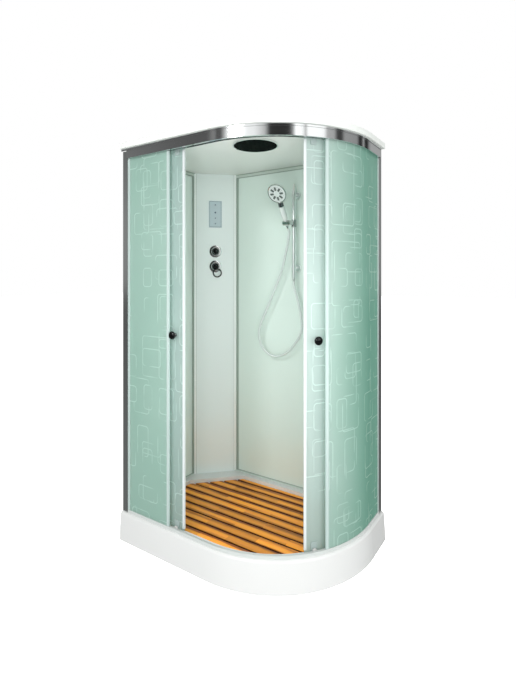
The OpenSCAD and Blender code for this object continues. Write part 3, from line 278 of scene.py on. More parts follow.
class Effects:
    """Shader node groups that the materials share, each built once."""

    def __init__(self) -> None:
        """Starts with no group built."""
        self._built: dict[str, bpy.types.NodeTree] = {}

    def place(self, g: Graph, name: str, inputs: dict[str, Value]) -> bpy.types.Node:
        """Puts a group into a node tree.

        Args:
            g: the tree's graph.
            name: the group's name, a method of this class.
            inputs: values or sockets for its inputs.

        Returns:
            The group's node.
        """
        if name not in self._built:
            takes, gives, make = {
                "drift": ("Vector:V Fine:F", "Slow:F Fine:F", self.drift),
                "front": ("Vector:V", "Vector:V", self.front),
                "outline": ("Vector:V Cell:V Seed:F Keep:F", "Line:F", self.outline),
                "etching": ("Vector:V", "Line:F", self.etching),
                "slats": ("Vector:V", "Tone:F Grain:F Rings:F Depth:F Middle:F", self.slats),
                "smudge": ("Vector:V", "Amount:F", self.smudge),
            }[name]
            tree = bpy.data.node_groups.new(name, "ShaderNodeTree")
            for way, sockets in (("INPUT", takes), ("OUTPUT", gives)):
                for socket in sockets.split():
                    label, kind = socket.split(":")
                    tree.interface.new_socket(label, in_out=way, socket_type=KINDS[kind])
            plain = Graph(tree)
            make(Group(tree, plain.add("NodeGroupInput").outputs, plain.add("NodeGroupOutput").inputs))
            self._built[name] = tree
        return g.add("Group", inputs, node_tree=self._built[name])

    @staticmethod
    def drift(g: Group) -> None:
        """Fills the group that gives slow and fine variation over a surface.

        Args:
            g: the group.
        """
        slow = g.out("TexNoise", {"Vector": g.takes["Vector"], "Scale": 3.0, "Detail": 2.0})
        fine = g.out("TexNoise", {"Vector": g.takes["Vector"], "Scale": g.takes["Fine"], "Detail": 4.0,
                                  "Roughness": 0.6})
        g.feed(g.gives["Slow"], slow)
        g.feed(g.gives["Fine"], fine)

    @staticmethod
    def smudge(g: Group) -> None:
        """Fills the group that gives faint wiped patches, as a cloth leaves on a glossy surface.

        Args:
            g: the group.
        """
        place = g.vector("MULTIPLY", g.takes["Vector"], (1.0, 1.0, 0.35))
        cloud = g.out("TexNoise", {"Vector": place, "Scale": 7.0, "Detail": 5.0, "Roughness": 0.55, "Distortion": 0.8})
        spread = g.out("MapRange", {"Value": cloud, "From Min": 0.45, "From Max": 0.75})
        g.feed(g.gives["Amount"], spread)

    @staticmethod
    def front(g: Group) -> None:
        """Fills the group that unrolls the rounded front: X runs along it and Y upwards.

        Args:
            g: the group.
        """
        x, y, z = g.add("SeparateXYZ", {0: g.takes["Vector"]}).outputs
        depth = g.math("MAXIMUM", g.math("SUBTRACT", CORNER_Y, y), 0.001)
        arc = g.math("MULTIPLY", g.math("ARCTAN2", x, depth), PANE_RADIUS)
        past = g.math("MAXIMUM", g.math("SUBTRACT", y, CORNER_Y), 0.0)
        left = g.math("LESS_THAN", x, 0.0)
        right = g.math("MULTIPLY", g.math("ADD", arc, past), g.math("SUBTRACT", 1.0, left))
        run = g.math("MULTIPLY_ADD", x, left, right)
        g.feed(g.gives["Vector"], g.out("CombineXYZ", {0: run, 1: z}))

    @staticmethod
    def outline(g: Group) -> None:
        """Fills the group that draws one rounded outline in each cell of a grid, of a random size and place.

        Args:
            g: the group.
        """
        cell = g.takes["Cell"]
        scaled = g.vector("DIVIDE", g.takes["Vector"], cell)
        index = g.vector("FLOOR", scaled)
        lot = g.out("CombineXYZ", {2: g.takes["Seed"]})
        seed = g.vector("ADD", index, lot)
        first, second = (g.add("TexWhiteNoise", {"Vector": g.vector("ADD", seed, (0.0, 0.0, step))},
                               noise_dimensions="3D") for step in (0.31, 0.77))
        least, more = (0.22, 0.24, 0.0), (0.22, 0.22, 0.0)
        part = g.vector("MULTIPLY_ADD", first.outputs["Color"], more, least)
        half = g.vector("MULTIPLY", cell, part)
        middle, stray = (-0.56, -0.56, 0.0), (0.12, 0.12, 0.0)
        shift = g.vector("MULTIPLY_ADD", second.outputs["Color"], stray, middle)
        own = g.vector("MULTIPLY", g.vector("ADD", g.vector("FRACTION", scaled), shift), cell)
        rounding, half_line = 0.016, 0.0024
        inset = g.vector("SUBTRACT", half, (rounding, rounding, 0.0))
        off = g.vector("SUBTRACT", g.vector("ABSOLUTE", own), inset)
        x, y, _ = g.add("SeparateXYZ", {0: off}).outputs
        corner = g.out("CombineXYZ", {0: g.math("MAXIMUM", x, 0.0), 1: g.math("MAXIMUM", y, 0.0)})
        inside = g.math("MINIMUM", g.math("MAXIMUM", x, y), 0.0)
        away = g.math("SUBTRACT", g.math("ADD", g.vector("LENGTH", corner), inside), rounding)
        line = g.math("LESS_THAN", g.math("ABSOLUTE", away), half_line)
        kept = g.math("LESS_THAN", first.outputs["Value"], g.takes["Keep"])
        patch = g.out("TexNoise", {"Vector": g.vector("ADD", g.takes["Vector"], seed), "Scale": 9.0, "Detail": 1.0})
        whole = g.out("MapRange", {"Value": patch, "From Min": 0.42, "From Max": 0.56})
        g.feed(g.gives["Line"], g.math("MULTIPLY", g.math("MULTIPLY", line, kept), whole))

    def etching(self, g: Group) -> None:
        """Fills the group that lays outlines of several sizes over each other.

        Args:
            g: the group.
        """
        total: Value = 0.0
        for shift, cell, seed, keep in (((0.03, 0.02, 0.0), (0.17, 0.23, 1.0), 3.0, 0.7),
                                        ((0.11, 0.09, 0.0), (0.12, 0.16, 1.0), 11.0, 0.55),
                                        ((0.05, 0.13, 0.0), (0.23, 0.12, 1.0), 23.0, 0.5),
                                        ((0.16, 0.05, 0.0), (0.34, 0.42, 1.0), 41.0, 0.6)):
            place = g.vector("ADD", g.takes["Vector"], shift)
            drawn = self.place(g, "outline", {"Vector": place, "Cell": cell, "Seed": seed, "Keep": keep})
            total = g.math("MAXIMUM", total, drawn.outputs["Line"])
        g.feed(g.gives["Line"], total)

    @staticmethod
    def slats(g: Group) -> None:
        """Fills the group that gives each stave of each slat its own tone and the grain along it, a painted shade down
        the slats' sides in the gaps, and a painted highlight along each slat's middle.

        Args:
            g: the group.
        """
        pitch, first, top, lowest = 0.0634, 0.308, 0.1292, 0.1262
        stave_length, stagger, squeeze, rise = 0.31, 0.173, 16.0, 2.47
        x, y, z = g.add("SeparateXYZ", {0: g.takes["Vector"]}).outputs
        slat = g.math("FLOOR", g.math("DIVIDE", g.math("SUBTRACT", y, first), pitch))
        stave = g.math("FLOOR", g.math("DIVIDE", g.math("MULTIPLY_ADD", slat, stagger, x), stave_length))
        row = g.out("CombineXYZ", {0: slat, 1: stave})
        own = g.add("TexWhiteNoise", {"Vector": row}, noise_dimensions="2D").outputs["Value"]
        along = g.math("MULTIPLY_ADD", own, 9.0, x)
        place = g.out("CombineXYZ", {0: along, 1: g.math("MULTIPLY", y, squeeze), 2: g.math("MULTIPLY", z, squeeze)})
        grain = g.out("TexNoise", {"Vector": place, "Scale": 3.2, "Detail": 7.0, "Roughness": 0.68, "Distortion": 0.4})
        rings = g.add("TexWave", {"Vector": place, "Scale": 0.5, "Distortion": 6.0, "Detail": 3.0,
                                  "Detail Scale": 0.8}, bands_direction="Y")
        # Painted highlight: brighter along each slat's middle, darker towards its edges, where its rounded top catches
        # the light.
        across = g.math("FRACT", g.math("DIVIDE", g.math("SUBTRACT", y, first), pitch))
        from_middle = g.math("ABSOLUTE", g.math("MULTIPLY_ADD", across, rise, -1.0))
        middle = g.math("SUBTRACT", 1.0, from_middle, clamp=True)
        # Painted shade: darker down the slats' sides, from the top of a slat to the gaps between them.
        depth = g.out("MapRange", {"Value": z, "From Min": top, "From Max": lowest})
        for name, value in (("Tone", own), ("Grain", grain), ("Rings", rings.outputs["Fac"]),
                            ("Depth", depth), ("Middle", middle)):
            g.feed(g.gives[name], value)


class Paint:
    """Makes materials, each once."""

    def __init__(self) -> None:
        """Starts with no material made."""
        self._made: dict[str, bpy.types.Material] = {}
        self._effects = Effects()

    def get(self, finish: Finish) -> bpy.types.Material:
        """Gives a finish its material.

        Args:
            finish: the finish.

        Returns:
            Its material.
        """
        if finish.name not in self._made:
            material = bpy.data.materials.new(finish.name)
            recipe = {Recipe.GLASS: self._glass, Recipe.WOOD: self._wood,
                      Recipe.SPECKLED: self._speckled}.get(finish.recipe, self._solid)
            g = empty_graph(material)
            output = g.add("OutputMaterial")
            g.feed(output.inputs["Surface"], recipe(g, finish))
            material.diffuse_color = (*finish.colour, 1.0)
            self._made[finish.name] = material
        return self._made[finish.name]

    def _place(self, g: Graph, finish: Finish) -> bpy.types.NodeSocket:
        """Gives the surface's own coordinates, drawn out along each axis.

        Args:
            g: the material's graph.
            finish: the finish.

        Returns:
            The coordinates.
        """
        own = g.add("TexCoord").outputs["Object"]
        if finish.round_front:
            own = self._effects.place(g, "front", {"Vector": own}).outputs[0]
        return g.vector("DIVIDE", own, finish.stretch)

    def _solid(self, g: Graph, finish: Finish) -> bpy.types.NodeSocket:
        """Builds a moulded or metal material.

        Args:
            g: the material's graph.
            finish: the finish.

        Returns:
            The shader.
        """
        place = self._place(g, finish)
        drift = self._effects.place(g, "drift", {"Vector": place, "Fine": finish.fine})
        smudge = self._effects.place(g, "smudge", {"Vector": place}).outputs[0]
        slow_share, fine_share, smudge_share, smoothest = 0.8, 0.2, 0.35, 0.02
        slow, fine = drift.outputs["Slow"], drift.outputs["Fine"]
        low = tuple(c * (1.0 - finish.vary) for c in finish.colour)
        tone = g.math("MULTIPLY_ADD", slow, slow_share, g.math("MULTIPLY", fine, fine_share))
        colour = g.mix(tone, low, finish.colour)
        rough = g.math("MULTIPLY_ADD", fine, finish.vary, finish.rough - finish.vary / 2)
        rough = g.math("MULTIPLY_ADD", smudge, smudge_share * finish.vary, rough)
        bump = g.out("Bump", {"Strength": 0.5, "Distance": finish.bump, "Height": fine})
        return g.out("BsdfPrincipled", {
            "Base Color": colour, "Roughness": g.math("MAXIMUM", rough, smoothest),
            "Metallic": 1.0 if finish.recipe is Recipe.METAL else 0.0,
            "Coat Weight": finish.coat, "Coat Roughness": 0.08, "Normal": bump})

    def _glass(self, g: Graph, finish: Finish) -> bpy.types.NodeSocket:
        """Builds frosted glass with etched outlines. Tinted glass looks deeper where it is seen at a slant.

        Args:
            g: the material's graph.
            finish: the finish: its colour is the glass seen square on, and its second colour the glass at a slant.

        Returns:
            The shader.
        """
        own = g.add("TexCoord").outputs["Object"]
        flat = self._effects.place(g, "front", {"Vector": own}).outputs[0]
        line = self._effects.place(g, "etching", {"Vector": flat}).outputs[0]
        cloud = g.out("TexNoise", {"Vector": flat, "Scale": 1.6, "Detail": 2.0})
        square = g.math("SUBTRACT", 1.0, g.add("LayerWeight", {"Blend": 0.5}).outputs["Facing"])
        pale = g.math("POWER", square, SLANT)
        cloudy, least = 0.5, 0.75
        pale = g.math("MULTIPLY", pale, g.math("MULTIPLY_ADD", cloud, cloudy, least), clamp=True)
        ground = g.mix(pale, finish.second, finish.colour)
        colour = g.mix(g.math("MULTIPLY", line, ETCHED), ground, ETCH_COLOUR)
        frost = g.out("TexNoise", {"Vector": flat, "Scale": 900.0, "Detail": 1.0})
        bump = g.out("Bump", {"Strength": 0.25, "Distance": 0.0001,
                              "Height": g.math("MULTIPLY_ADD", line, 0.6, g.math("MULTIPLY", frost, 0.1))})
        rough = g.math("MULTIPLY_ADD", line, 0.25, finish.rough)
        face = g.out("BsdfPrincipled", {"Base Color": colour, "Roughness": rough, "Coat Weight": finish.coat,
                                        "Coat Roughness": 0.04, "Normal": bump})
        glow = g.out("BsdfTranslucent", {"Color": colour})
        body = g.out("MixShader", {0: GLOW, 1: face, 2: glow})
        untinted, tinted, blocked = 0.35, 0.65, 0.15
        tint = tuple(untinted + tinted * c for c in finish.colour)
        through = g.out("BsdfTransparent", {"Color": tint})
        clear = g.math("SUBTRACT", finish.clear, g.math("MULTIPLY", line, blocked), clamp=True)
        share = g.math("MULTIPLY", clear, square)
        return g.out("MixShader", {0: share, 1: body, 2: through})

    def _wood(self, g: Graph, finish: Finish) -> bpy.types.NodeSocket:
        """Builds oiled wood whose staves differ in tone, with painted shade down in the gaps and a painted highlight
        along each slat's middle.

        Args:
            g: the material's graph.
            finish: the finish: its second colour is the dark of the grain.

        Returns:
            The shader.
        """
        slats = self._effects.place(g, "slats", {"Vector": g.add("TexCoord").outputs["Object"]})
        grain = slats.outputs["Grain"]
        ring_share, grain_share, highlight_share, less = 0.1, 0.62, 0.34, 0.05
        brighter, spread, darkest = 1.25, 0.5, 0.78
        streak = g.math("MULTIPLY_ADD", slats.outputs["Rings"], ring_share, g.math("MULTIPLY", grain, grain_share))
        # Painted highlight along each slat's middle, added to the grain.
        streak = g.math("MULTIPLY_ADD", slats.outputs["Middle"], highlight_share, g.math("SUBTRACT", streak, less))
        bright = tuple(min(1.0, c * brighter) for c in finish.colour)
        base = g.ramp(streak, ((0.32, finish.second), (0.5, finish.colour), (0.74, bright)))
        tone = g.math("MULTIPLY_ADD", slats.outputs["Tone"], spread, darkest)
        colour = g.mix(1.0, base, g.grey(tone), blend="MULTIPLY")
        # Painted shade: the wood turns dark brown lower down in the gaps between slats.
        colour = g.mix(slats.outputs["Depth"], colour, GAP_SHADE_BROWN)
        bump = g.out("Bump", {"Strength": 0.4, "Distance": 0.0003, "Height": streak})
        return g.out("BsdfPrincipled", {
            "Base Color": colour, "Roughness": g.math("MULTIPLY_ADD", grain, 0.25, finish.rough - 0.1),
            "Coat Weight": finish.coat, "Coat Roughness": 0.3, "Normal": bump})

    def _speckled(self, g: Graph, finish: Finish) -> bpy.types.NodeSocket:
        """Builds a dark plate with small paler specks.

        Args:
            g: the material's graph.
            finish: the finish: its second colour is that of the specks.

        Returns:
            The shader.
        """
        place = self._place(g, finish)
        cells = g.add("TexVoronoi", {"Vector": place, "Scale": finish.fine}).outputs["Distance"]
        spots = g.out("MapRange", {"Value": cells, "From Min": 0.32, "From Max": 0.1})
        cloud = g.out("TexNoise", {"Vector": place, "Scale": 14.0, "Detail": 3.0})
        colour = g.mix(g.math("MULTIPLY", spots, cloud), finish.colour, finish.second)
        bump = g.out("Bump", {"Strength": 0.5, "Distance": finish.bump, "Height": spots})
        rough = g.math("MULTIPLY_ADD", cloud, 0.2, finish.rough)
        return g.out("BsdfPrincipled", {"Base Color": colour, "Roughness": rough, "Specular IOR Level": 0.04,
                                        "Normal": bump})


# How far fine texture is drawn out along profiles and bars.
ALONG_Z = (1.0, 1.0, 14.0)
ALONG_X = (14.0, 1.0, 1.0)

ACRYLIC = Finish("white acrylic", (0.79, 0.8, 0.79), 0.16, vary=0.03, coat=0.5)
ROOF_WHITE = Finish("white roof", (0.88, 0.92, 0.88), 0.3, vary=0.03)
WALL = Finish("pale green wall", (0.76, 0.88, 0.82), 0.12, vary=0.05, coat=0.6)
COLUMN_WHITE = Finish("white column", (0.85, 0.93, 0.91), 0.18, vary=0.03, coat=0.5)
STRIP = Finish("pale strip", (0.6, 0.68, 0.62), 0.3, vary=0.05, stretch=ALONG_Z, fine=400.0)
GASKET = Finish("grey gasket", (0.33, 0.41, 0.36), 0.5, vary=0.1)
CHROME = Finish("chrome", (0.84, 0.85, 0.85), 0.06, Recipe.METAL, vary=0.04)
DARK_CHROME = Finish("dark chrome", (0.22, 0.23, 0.24), 0.07, Recipe.METAL, vary=0.05)
BLACK_CHROME = Finish("black chrome", (0.06, 0.065, 0.065), 0.07, Recipe.METAL, vary=0.1)
BLACK_GLOSS = Finish("black gloss", (0.006, 0.008, 0.008), 0.1, vary=0.2, coat=0.6)
# Painted highlight: a white brighter than the column's, for the strips that stand in for the highlight on its rounded
# edges.
EDGE_HIGHLIGHT_WHITE = Finish("painted edge highlight", (0.94, 1.0, 0.97), 0.2, vary=0.01, coat=0.5, stretch=ALONG_Z)
POST = Finish("bright profile", (0.76, 0.79, 0.78), 0.13, Recipe.METAL, vary=0.08, stretch=ALONG_Z, fine=500.0)
RAIL = Finish("bright rail", (0.82, 0.84, 0.84), 0.1, Recipe.METAL, vary=0.05, stretch=ALONG_X, fine=500.0,
              round_front=True)
LOW_RAIL = Finish("pale rail", (0.66, 0.7, 0.68), 0.25, vary=0.04, coat=0.5)
GREY_CHROME = Finish("grey chrome", (0.55, 0.58, 0.57), 0.1, Recipe.METAL, vary=0.05)
BAR_CHROME = Finish("brushed chrome", (0.95, 0.97, 0.97), 0.34, Recipe.METAL, vary=0.05, stretch=ALONG_Z, fine=500.0)
SATIN = Finish("satin profile", (0.6, 0.64, 0.62), 0.3, Recipe.METAL, vary=0.08, stretch=ALONG_Z, fine=600.0)
FIXED_GLASS = Finish("frosted green glass", (0.93, 0.99, 0.97), 0.22, Recipe.GLASS, coat=0.6,
                     second=(0.21, 0.54, 0.41), clear=0.2)
DOOR_GLASS = Finish("frosted door glass", (0.86, 0.96, 0.93), 0.22, Recipe.GLASS, coat=0.6,
                    second=(0.23, 0.4, 0.37), clear=0.28)
TRIM = Finish("clear pane trim", (0.53, 0.65, 0.62), 0.22, vary=0.05, coat=0.5, stretch=ALONG_Z)
SEAL = Finish("white seal", (0.7, 0.76, 0.76), 0.35, vary=0.04, stretch=ALONG_Z)
BLACK_RUBBER = Finish("black rubber", (0.02, 0.02, 0.02), 0.6, vary=0.2)
WOOD = Finish("oiled slats", (0.94, 0.34, 0.03), 0.42, Recipe.WOOD, coat=0.05, second=(0.26, 0.07, 0.008))
BATTEN = Finish("oiled battens", (0.2, 0.07, 0.015), 0.5, Recipe.WOOD, second=(0.07, 0.025, 0.006))
ZINC = Finish("coated steel", (0.5, 0.51, 0.52), 0.42, Recipe.METAL, vary=0.12, fine=90.0)
ROLLER_MOUNT = Finish("roller mount", (0.38, 0.47, 0.45), 0.4, vary=0.1)
WHEEL = Finish("wheel plastic", (0.6, 0.6, 0.58), 0.4)
FOOT = Finish("foot plastic", (0.03, 0.03, 0.03), 0.5, vary=0.15)
TRAP = Finish("trap plastic", (0.72, 0.72, 0.7), 0.4)
BRASS = Finish("cast brass", (0.62, 0.45, 0.2), 0.4, Recipe.METAL, vary=0.15, fine=120.0, bump=0.0001)
PANEL = Finish("control panel", (0.56, 0.67, 0.71), 0.1, vary=0.05, coat=0.8)
KEY = Finish("key", (0.52, 0.63, 0.67), 0.2, coat=0.4)
MARK = Finish("panel mark", (0.03, 0.06, 0.12), 0.4, vary=0.1)
BOX = Finish("box plastic", (0.05, 0.05, 0.055), 0.5, vary=0.12)
RAIN_PLATE = Finish("rain plate", (0.001, 0.004, 0.003), 0.6, Recipe.SPECKLED, fine=110.0, bump=0.0004,
                    second=(0.008, 0.03, 0.024))
NOZZLE = Finish("nozzle rubber", (0.002, 0.007, 0.005), 0.8, Recipe.SPECKLED, fine=400.0, second=(0.006, 0.02, 0.016))
HANDSET = Finish("handset white", (0.76, 0.82, 0.8), 0.15, coat=0.6)
PETAL = Finish("spray petal", (0.1, 0.13, 0.12), 0.4, vary=0.15)
HOSE = Finish("silver hose", (0.66, 0.73, 0.71), 0.2, vary=0.06, coat=0.8)
PIPE = Finish("pipe plastic", (0.4, 0.42, 0.43), 0.45)


def aim(origin: Vector, z_axis: Vector, x_axis: Vector) -> Matrix:
    """Gives the matrix of a frame.

    Args:
        origin: its origin.
        z_axis: its Z direction.
        x_axis: its X direction, square to Z.

    Returns:
        The matrix.
    """
    z = z_axis.normalized()
    x = x_axis.normalized()
    return Matrix.Translation(origin) @ Matrix((x, z.cross(x), z)).transposed().to_4x4()


def on_column(height: float) -> Matrix:
    """Gives the frame of a height above the floor on the column: X along its face, Y up, Z out into the cabin."""
    side = math.sqrt(0.5)
    return aim(Vector((*COLUMN_AXIS, height)), Vector((side, -side, 0.0)), Vector((side, side, 0.0)))


def add_object(name: str, data: bpy.types.ID) -> bpy.types.Object:
    """Adds an object to the scene.

    Args:
        name: its name.
        data: its mesh, camera or lamp.

    Returns:
        The object.
    """
    made = bpy.data.objects.new(name, data)
    bpy.context.scene.collection.objects.link(made)
    return made


def smooth_line(points: Sequence[Vector], steps: int) -> list[Vector]:
    """Draws a smooth line through points.

    Args:
        points: the points.
        steps: steps between two of them.

    Returns:
        Points along the line.
    """
    line = []
    last = len(points) - 1
    for i in range(last):
        a, b, c, d = (points[min(max(i + k, 0), last)] for k in (-1, 0, 1, 2))
        for t in (k / steps for k in range(steps)):
            line.append(0.5 * (2 * b + (c - a) * t + (2 * a - 5 * b + 4 * c - d) * t * t
                               + (3 * b - a - 3 * c + d) * t * t * t))
    return [*line, points[last]]


class Mesh:
    """A bmesh that shapes are added to."""

    def __init__(self) -> None:
        """Starts empty."""
        self.data = bmesh.new()

    def _added(self, before: set[bmesh.types.BMVert]) -> list[bmesh.types.BMVert]:
        """Lists the vertices that were not there before."""
        return [vert for vert in self.data.verts if vert not in before]

    def turned(self, profile: Profile, place: Matrix, steps: int = 48) -> Mesh:
        """Adds a profile (radius, height) turned about Z.

        Args:
            profile: points from one end to the other.
            place: where it goes.
            steps: number of sides.

        Returns:
            This mesh.
        """
        before = set(self.data.verts)
        points = [self.data.verts.new((radius, 0.0, height)) for radius, height in profile]
        edges = [self.data.edges.new(pair) for pair in zip(points, points[1:], strict=False)]
        bmesh.ops.spin(self.data, geom=points + edges, cent=(0, 0, 0), axis=(0, 0, 1), angle=2 * math.pi,
                       steps=steps, use_merge=True)
        bmesh.ops.remove_doubles(self.data, verts=self._added(before), dist=1e-6)
        bmesh.ops.transform(self.data, matrix=place, verts=self._added(before))
        return self

    def block(self, low: Colour, high: Colour, place: Matrix, bevel: float) -> Mesh:
        """Adds a box with rounded edges.

        Args:
            low: its lowest corner.
            high: its highest corner.
            place: where it goes.
            bevel: radius of its edges.

        Returns:
            This mesh.
        """
        before = set(self.data.verts)
        middle = (Vector(low) + Vector(high)) / 2
        size = Vector(high) - Vector(low)
        bmesh.ops.create_cube(self.data, size=1.0, matrix=place @ Matrix.Translation(middle)
                              @ Matrix.Diagonal((*size, 1.0)))
        edges = list({edge for vert in self._added(before) for edge in vert.link_edges})
        bmesh.ops.bevel(self.data, geom=edges, offset=bevel, segments=2, affect="EDGES", profile=0.5, material=-1)
        return self

    def prism(self, sides: int, radius: float, depth: float, place: Matrix) -> Mesh:
        """Adds a flat shape with equal sides, raised along Z.

        Args:
            sides: number of sides.
            radius: distance from its middle to a corner.
            depth: its height.
            place: where it goes.

        Returns:
            This mesh.
        """
        bmesh.ops.create_cone(self.data, cap_ends=True, segments=sides, radius1=radius, radius2=radius, depth=depth,
                              matrix=place @ Matrix.Translation((0.0, 0.0, depth / 2)))
        return self

    def swept(self, path: Sequence[Vector], radius: Callable[[float], float], steps: int = 14) -> Mesh:
        """Adds a round section swept along a path.

        Args:
            path: points of the centreline.
            radius: the section's radius at a distance along the path.
            steps: number of sides.

        Returns:
            This mesh.
        """
        start = len(self.data.edges)
        along = 0.0
        for i, point in enumerate(path):
            before, after = path[max(i - 1, 0)], path[min(i + 1, len(path) - 1)]
            along += (point - before).length
            z = (after - before).normalized()
            bmesh.ops.create_circle(self.data, segments=steps, radius=radius(along), cap_ends=i in (0, len(path) - 1),
                                    matrix=aim(point, z, z.cross(Vector((0.0, 1.0, 0.0)))))
        self.data.edges.ensure_lookup_table()
        rings = self.data.edges[start:]
        for low in range(0, len(rings) - steps, steps):
            bmesh.ops.bridge_loops(self.data, edges=rings[low:low + 2 * steps])
        return self


@dataclass
class Part:
    """A sub-assembly: it turns meshes into pieces and gives CAD nodes their finishes.

    Attributes:
        nodes: the CAD nodes, by name.
        paint: the maker of materials.
    """

    nodes: dict[str, bpy.types.Object]
    paint: Paint

    def dress(self, finish: Finish, *names: str) -> None:
        """Gives CAD nodes a finish.

        Args:
            finish: the finish.
            *names: the nodes.
        """
        for name in names:
            node = self.nodes[name]
            if not node.material_slots:
                node.data.materials.append(None)
            for slot in node.material_slots:
                slot.material = self.paint.get(finish)
            LOG.info("dressed %s", name)

    def piece(self, name: str, mesh: Mesh, finish: Finish, body: Body | None, sharp: float = 25.0,
              replaces: str | None = None) -> bpy.types.Object:
        """Turns a mesh into a piece.

        Args:
            name: the piece's name.
            mesh: its mesh.
            finish: its finish.
            body: the body it rides on, or None where the hose's joints place it.
            sharp: edges that turn more than this stay sharp, in degrees.
            replaces: the CAD node it stands for, if any.

        Returns:
            The piece.
        """
        shape = mesh.data
        bmesh.ops.recalc_face_normals(shape, faces=shape.faces)
        for face in shape.faces:
            face.smooth = True
        for edge in shape.edges:
            edge.smooth = len(edge.link_faces) != 2 or edge.calc_face_angle(0.0) < math.radians(sharp)
        data = bpy.data.meshes.new(name)
        shape.to_mesh(data)
        shape.free()
        data.materials.append(self.paint.get(finish))
        made = add_object(name, data)
        if body is not None:
            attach(made, body.value)
        if replaces is not None:
            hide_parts(replaces)
        LOG.info("made %s", name)
        return made


@dataclass
class Hose(Part):
    """The shower hose, in the two stretches that its joints move.

    Attributes:
        route: points along it in millimetres, from the outlet to the handset's nut.
        radius: its outer radius.
        groove: depth of the grooves between its windings.
        winding: length of a winding.
        steps: steps between two points of the route.
        tail_spans: spans of the route that belong to the end stretch.
    """

    route: tuple[Colour, ...] = (
        (75, 330, 1402), (75, 330, 1382), (80, 330, 1355), (92, 330, 1318), (107, 330, 1267), (121, 330, 1205),
        (128, 330, 1140), (118, 329, 1085), (84, 328, 1031), (32, 327, 975), (-30, 326, 946), (-78, 325, 947),
        (-124, 324, 972), (-155, 323, 1015), (-166, 322, 1068), (-157, 322, 1125), (-134, 322, 1180),
        (-106, 322, 1236), (-70, 322, 1312), (-37, 322, 1386), (-6, 322, 1455), (16, 321, 1530), (35, 320, 1605),
        (44, 319, 1650), (50, 316, 1682), (52, 309, 1701), (50, 300, 1715))
    radius: float = 0.007
    groove: float = 0.0008
    winding: float = 0.008
    steps: int = 24
    tail_spans: int = 3

    def build(self) -> None:
        """Builds both stretches."""
        line = smooth_line([Vector(p) / 1000 for p in self.route], self.steps)
        split = len(line) - 1 - self.tail_spans * self.steps
        parts = (line[:split + 1], line[split:])
        hose, tail = (self.piece(name, Mesh().swept(part, self._radius_at), HOSE, None, sharp=80.0, replaces=old)
                      for name, part, old in zip(("hose", "hose_end"), parts, ("shower_hose", "hose_tail"),
                                                 strict=True))
        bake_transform(hose)
        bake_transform(tail)

    def _radius_at(self, along: float) -> float:
        """Gives the radius at a distance along the hose."""
        return self.radius - self.groove * (0.5 + 0.5 * math.cos(along * 2 * math.pi / self.winding))


@dataclass
class Base(Part):
    """The tray with its frame, feet and waste, and the floor board that lies in it."""

    def build(self) -> None:
        """Dresses the tray and the board."""
        self.dress(ACRYLIC, "tray")
        self.dress(ZINC, "base_frame")
        self.dress(FOOT, "feet")
        self.dress(CHROME, "drain_fittings")
        self.dress(TRAP, "siphon_trap")
        self.dress(WOOD, "duckboard_slats")
        self.dress(BATTEN, "duckboard_battens")
        self.dress(BLACK_RUBBER, "duckboard_studs")


@dataclass
class Front(Part):
    """Rails, wall profiles, panes and doors.

    Attributes:
        knob_height: height of the knobs above the floor.
        left_knob_x: place of the left knob, with its door open.
        right_knob_angle: place of the right knob round the corner, with its door open.
        glass: thickness of a door's pane.
        knob_head: profile of a knob's head, out from the glass.
        knob_neck: profile of its neck.
    """

    knob_height: float = 1.133
    left_knob_x: float = -0.2362
    right_knob_angle: float = -36.56
    glass: float = 0.0052
    knob_head: Profile = ((0.0, 0.0145), (0.012, 0.015), (0.018, 0.018), (0.0206, 0.0225), (0.0207, 0.025),
                          (0.02, 0.0275), (0.0178, 0.0303), (0.0145, 0.0325), (0.01, 0.0339), (0.005, 0.0345),
                          (0.0, 0.0346))
    knob_neck: Profile = ((0.0, 0.0001), (0.011, 0.0001), (0.011, 0.003), (0.0074, 0.0044), (0.007, 0.015),
                          (0.0, 0.015))

    def build(self) -> None:
        """Dresses the front and builds the knobs."""
        self.dress(RAIL, "top_rail")
        self.dress(LOW_RAIL, "bottom_rail")
        self.dress(POST, "left_wall_profile")
        self.dress(SATIN, "right_wall_profile")
        self.dress(FIXED_GLASS, "left_fixed_glass", "right_fixed_glass")
        self.dress(DOOR_GLASS, "left_door_glass", "right_door_glass")
        self.dress(TRIM, "fixed_pane_trims")
        self.dress(SEAL, "left_door_seals", "right_door_seals")
        self.dress(ROLLER_MOUNT, "left_roller_mounts", "right_roller_mounts")
        self.dress(BLACK_RUBBER, "door_stops")
        self.dress(WHEEL, *(name for name in self.nodes if name.endswith(("wheel_1", "wheel_2"))))
        up = Vector((0.0, 0.0, 1.0))
        turn = math.radians(self.right_knob_angle)
        centre = Vector((0.0, CORNER_Y, self.knob_height))
        for side, body, out, origin in (
                ("left", Body.LEFT_DOOR, Vector((0.0, -1.0, 0.0)),
                 centre + Vector((self.left_knob_x, -DOOR_RADIUS, 0.0))),
                ("right", Body.RIGHT_DOOR, Vector((math.cos(turn), math.sin(turn), 0.0)),
                 centre + DOOR_RADIUS * Vector((math.cos(turn), math.sin(turn), 0.0)))):
            outer = aim(origin, out, up)
            inner = aim(origin - out * self.glass, -out, up)
            heads = Mesh().turned(self.knob_head, outer).turned(self.knob_head, inner)
            necks = Mesh().turned(self.knob_neck, outer, 32).turned(self.knob_neck, inner, 32)
            self.piece(f"{side}_knob_heads", heads, BLACK_CHROME, body, replaces=f"{side}_knobs")
            self.piece(f"{side}_knob_necks", necks, CHROME, body)


